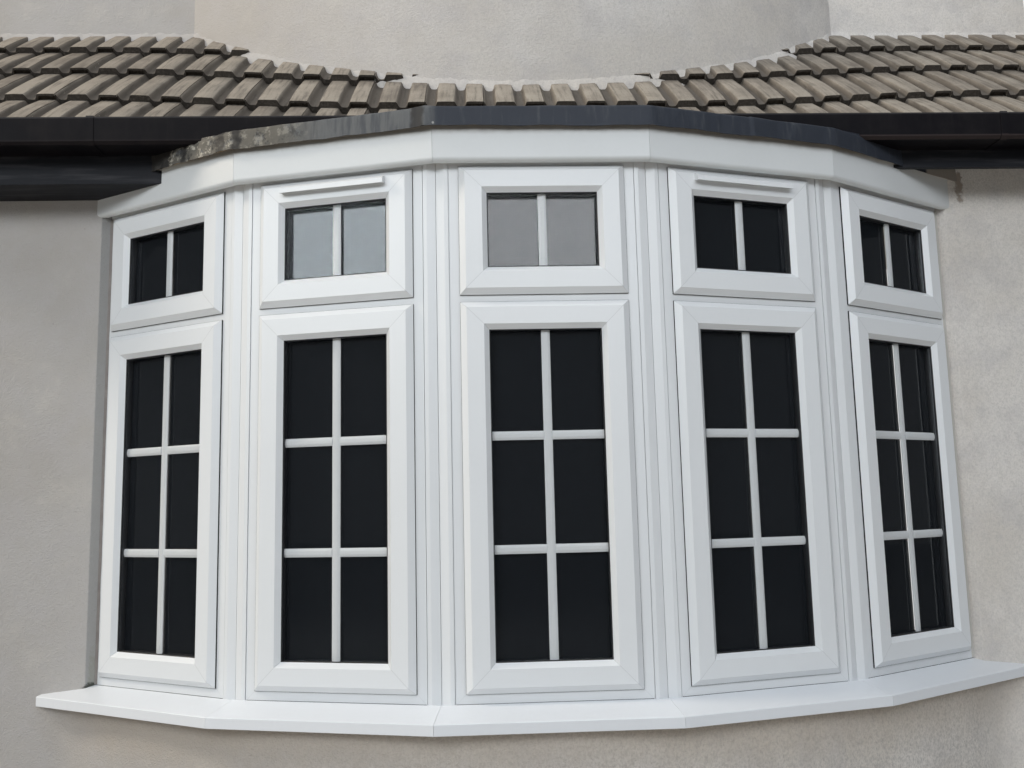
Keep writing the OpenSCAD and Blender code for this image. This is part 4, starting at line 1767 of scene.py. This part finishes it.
@dataclass
class Sealant:
    """Beads of sealant where the end frames meet the walls."""

    width: float = 7 * MM
    rough: float = 0.9 * MM
    steps: int = 60

    def make(self, material: Material) -> bpy.types.Object:
        """All beads.

        Args:
            material: Its finish.

        Returns:
            The finished piece.
        """
        work = Workpiece()
        w = self.width
        for place, side in ((Place.FAR_LEFT, -1), (Place.FAR_RIGHT, 1)):
            axes = BOW.axes_of(place)
            box = BOW.box_of(f"outer_frame_{place.label}", place)
            x = box.low.x if side < 0 else box.high.x
            face = box.low.y
            rings = []
            for k in range(self.steps + 1):
                z = box.low.z + 4 * MM + (box.high.z - 30 * MM - box.low.z) * k / self.steps
                swell = wobble(Vector((0, 0, z)), 0.06, 3.0 + side) * self.rough
                inner = x - side * (8 * MM + w + swell)
                rim, back, front = x - side * 6 * MM, face + 0.5 * MM, face - 0.75 * w
                outline = ((rim, back), (inner, back), (inner + side * 0.35 * w, face - 2 * MM - swell * 0.5),
                           (x - side * 8.2 * MM, front), (rim, front))
                rings.append([work.bm.verts.new(axes @ Vector((px, py, z))) for px, py in outline])
            work.tube(rings)
            work.bm.faces.new(rings[0])
            work.bm.faces.new(rings[-1])
        return work.tidy().piece("sealant", material, Slot.HANDLE, 60.0)


def dress(node: str, material: Material) -> None:
    """Assigns a finish to a CAD node.

    Args:
        node: Name of the node.
        material: Its finish.
    """
    for slot in NODES[node].material_slots:
        slot.material = material


@dataclass(frozen=True)
class Lamp:
    """One soft square lamp; its power is in watts and its size is the side of the square."""

    name: str
    place: Triple
    aim: Triple
    size: float
    power: float
    colour: Colour

    def hang(self) -> None:
        """Puts the lamp into the scene and turns it to its aim."""
        data = bpy.data.lights.new(self.name, "AREA")
        data.size = self.size
        data.energy = self.power
        data.color = self.colour
        made = add_object(self.name, data)
        made.location = self.place
        made.rotation_euler = (Vector(self.aim) - Vector(self.place)).to_track_quat("-Z", "Y").to_euler()


@dataclass
class Studio:
    """Camera, floor and lamps: a warm one far to the left, cool ones in front and overhead, one behind."""

    eye: Triple = (-0.2009, -3.0609, 1.5092)
    angles: Triple = (97.54, 1.318, -2.25)
    lens: float = 32.18
    sensor: float = 36.0
    floor_size: float = 60.0
    floor_colour: Colour = (0.80, 0.80, 0.80)
    floor_bounce: Colour = (0.55, 0.52, 0.48)
    sky: tuple[Colour, float] = ((0.84, 0.92, 1.0), 0.15)
    reflected: tuple[Colour, float] = ((0.90, 0.95, 1.0), 0.10)
    lamps: tuple[Lamp, ...] = (
        Lamp("key", (-6.9, -1.1, 6.6), (0, 0, 1.5), 1.6, 300, (1.0, 0.90, 0.76)),
        Lamp("sky_left", (-6.7, -7.9, 5.15), (-0.6, -0.5, 2.2), 2.3, 165, (0.84, 0.94, 1.0)),
        Lamp("sky_low", (0.8, -10.2, 5.5), (0, -0.5, 2.2), 2.6, 150, (0.92, 0.96, 1.0)),
        Lamp("sky_front", (-3.4, -8.2, 6.2), (0.6, 0, 1.6), 2.8, 178, (1.0, 0.985, 0.965)),
        Lamp("sky_right", (3.2, -7.6, 5.8), (1.8, 0, 1.6), 3.0, 98, (0.80, 0.89, 1.0)),
        Lamp("overhead", (0.5, -2.4, 8.0), (0, -0.5, 1.5), 5.0, 115, (0.92, 0.96, 1.0)),
        Lamp("room", (0.5, 5.2, 4.0), (0, 0.3, 1.6), 4.0, 200, (1.0, 0.99, 0.97)))

    def camera(self) -> None:
        """Sets the camera where the photograph was taken."""
        data = bpy.data.cameras.new("camera")
        data.lens = self.lens
        data.sensor_width = self.sensor
        data.clip_start = 0.05
        data.clip_end = 200.0
        made = add_object("camera", data)
        made.location = self.eye
        made.rotation_euler = [math.radians(a) for a in self.angles]
        bpy.context.scene.camera = made

    def world(self) -> None:
        """Soft light from all round, dimmer in reflections, and white behind the object."""
        world = bpy.data.worlds.new("world")
        world.use_nodes = True
        nodes, links = world.node_tree.nodes, world.node_tree.links
        nodes.clear()
        path = nodes.new("ShaderNodeLightPath")
        output = nodes.new("ShaderNodeOutputWorld")
        looks = []
        for colour, strength in (self.sky, self.reflected, (WHITE, 1.0)):
            look = nodes.new("ShaderNodeBackground")
            look.inputs["Color"].default_value = (*colour, 1.0)
            look.inputs["Strength"].default_value = strength
            looks.append(look.outputs[0])
        seen = nodes.new("ShaderNodeMath")
        seen.operation = "MAXIMUM"
        links.new(path.outputs["Is Camera Ray"], seen.inputs[0])
        links.new(path.outputs["Is Transmission Ray"], seen.inputs[1])
        result = looks[0]
        for share, look in ((path.outputs["Is Glossy Ray"], looks[1]), (seen.outputs[0], looks[2])):
            both = nodes.new("ShaderNodeMixShader")
            links.new(share, both.inputs[0])
            links.new(result, both.inputs[1])
            links.new(look, both.inputs[2])
            result = both.outputs[0]
        links.new(result, output.inputs["Surface"])
        bpy.context.scene.world = world

    def floor(self) -> None:
        """Pale floor that keeps the shadow near the object and turns white far off."""
        mesh = bpy.data.meshes.new("floor")
        bm = bmesh.new()
        bmesh.ops.create_grid(bm, x_segments=1, y_segments=1, size=self.floor_size / 2)
        bm.to_mesh(mesh)
        bm.free()
        made = add_object("floor", mesh)
        shader = Shader("floor")
        x, y, _ = shader.split(shader.axes())
        far = (x * x + y * y).math("SQRT").rise(3.0, 9.0)
        path = shader.node("ShaderNodeLightPath")
        camera = Value(shader, path.outputs["Is Camera Ray"])
        glossy = Value(shader, path.outputs["Is Glossy Ray"])
        bounce = shader.mix(glossy, self.floor_bounce, dimmed(self.floor_colour, 0.2))
        shader.finish(shader.mix(camera, bounce, self.floor_colour), 0.9, None, 0.0, {SPECULAR: 0.1})
        glow = shader.node("ShaderNodeEmission", {}, {"Color": WHITE, "Strength": 1.0})
        shares = {0: far * camera, 1: shader.surface.outputs[0], 2: glow.outputs[0]}
        both = shader.node("ShaderNodeMixShader", {}, shares)
        shader.feed(shader.output.inputs["Surface"], both.outputs[0])
        mesh.materials.append(shader.material)

    def build(self) -> None:
        """Sets everything up."""
        self.camera()
        for lamp in self.lamps:
            lamp.hang()
        self.world()
        self.floor()
        bpy.context.scene.view_settings.view_transform = "Standard"


def dress_nodes() -> None:
    """Gives the remaining CAD nodes their finishes."""
    plastic = WindowPlastic()
    post = plastic.material("plastic_posts")
    sill = WindowPlastic((0.78, 0.80, 0.83), 0.3, dust=0.09).material("plastic_sill")
    # The fascia's plastic is darker than the frames: painted shade from the lead and gutter above it, and
    # dust.
    board = WindowPlastic((0.67, 0.685, 0.688), 0.38, dust=0.08, shadow_and_grime_top=True).material("plastic_boards")
    inner = WindowPlastic((0.80, 0.80, 0.79), 0.35).material("plastic_window_board")
    handle = WindowPlastic((0.78, 0.785, 0.79), 0.25).material("plastic_handles")
    wall = RenderCoat().material("render_coat")
    tile = RoofTile().material("roof_tile", TiledRoof().axes)
    finishes: dict[str, Material] = {
        "bay_post": post, "trickle_vent": post, "sill": sill, "fascia": board, "window_board": inner,
        "window_handles": handle, "dwarf_wall": wall, "wall_pier": wall, "wall_head": wall, "upper_": wall,
        "tiled_roof": tile,
        "roof_frame": SawnTimber().material("sawn_rafters"),
        "floor_deck": SawnTimber().material("sawn_joists"),
        "roof_timber": SawnTimber().material("sawn_timber"),
        "room_ceiling": WallPlaster().material("room_ceiling_plaster"),
        "bay_ceiling": WallPlaster().material("ceiling_plaster"),
        "eaves": BlackBoard().material("black_board"),
        "gutter": GutterPlastic().material("gutter_plastic"),
        "lead_roof": LeadPatina().material("lead_patina"),
    }
    for node in NODES:
        for start, material in finishes.items():
            if node.startswith(start):
                dress(node, material)


def main() -> None:
    """Builds and dresses every piece."""
    logging.basicConfig(level=logging.INFO, format="%(name)s: %(message)s")
    Studio().build()
    dress_nodes()
    bar_plastic = WindowPlastic(colour=(0.78, 0.80, 0.81), roughness=0.35).material("plastic_glazing_bars")
    spacer = SpacerMetal().material("spacer_metal")
    rubber = SoftSeal((0.018, 0.018, 0.02)).material("black_seal")
    for place in Place:
        light = Light(place)
        light.dress(WindowPlastic(), PaneGlass())
        light.make_bars(bar_plastic)
        light.make_spacers(spacer)
        light.make_seals(rubber)
    roof = TiledRoof()
    roof.make(NODES["tiled_roof"].material_slots[0].material)
    MortarFillet(roof).make(NODES["upper_wall_left"].material_slots[0].material)
    GutterBrackets().make(NODES["gutter"].material_slots[0].material)
    LeadSheet().make(NODES["lead_roof"].material_slots[0].material)
    Sealant().make(OldSealant().material("old_sealant"))
    WallCorners().make(NODES["upper_wall_left"].material_slots[0].material)


if __name__ == "__main__":
    main()
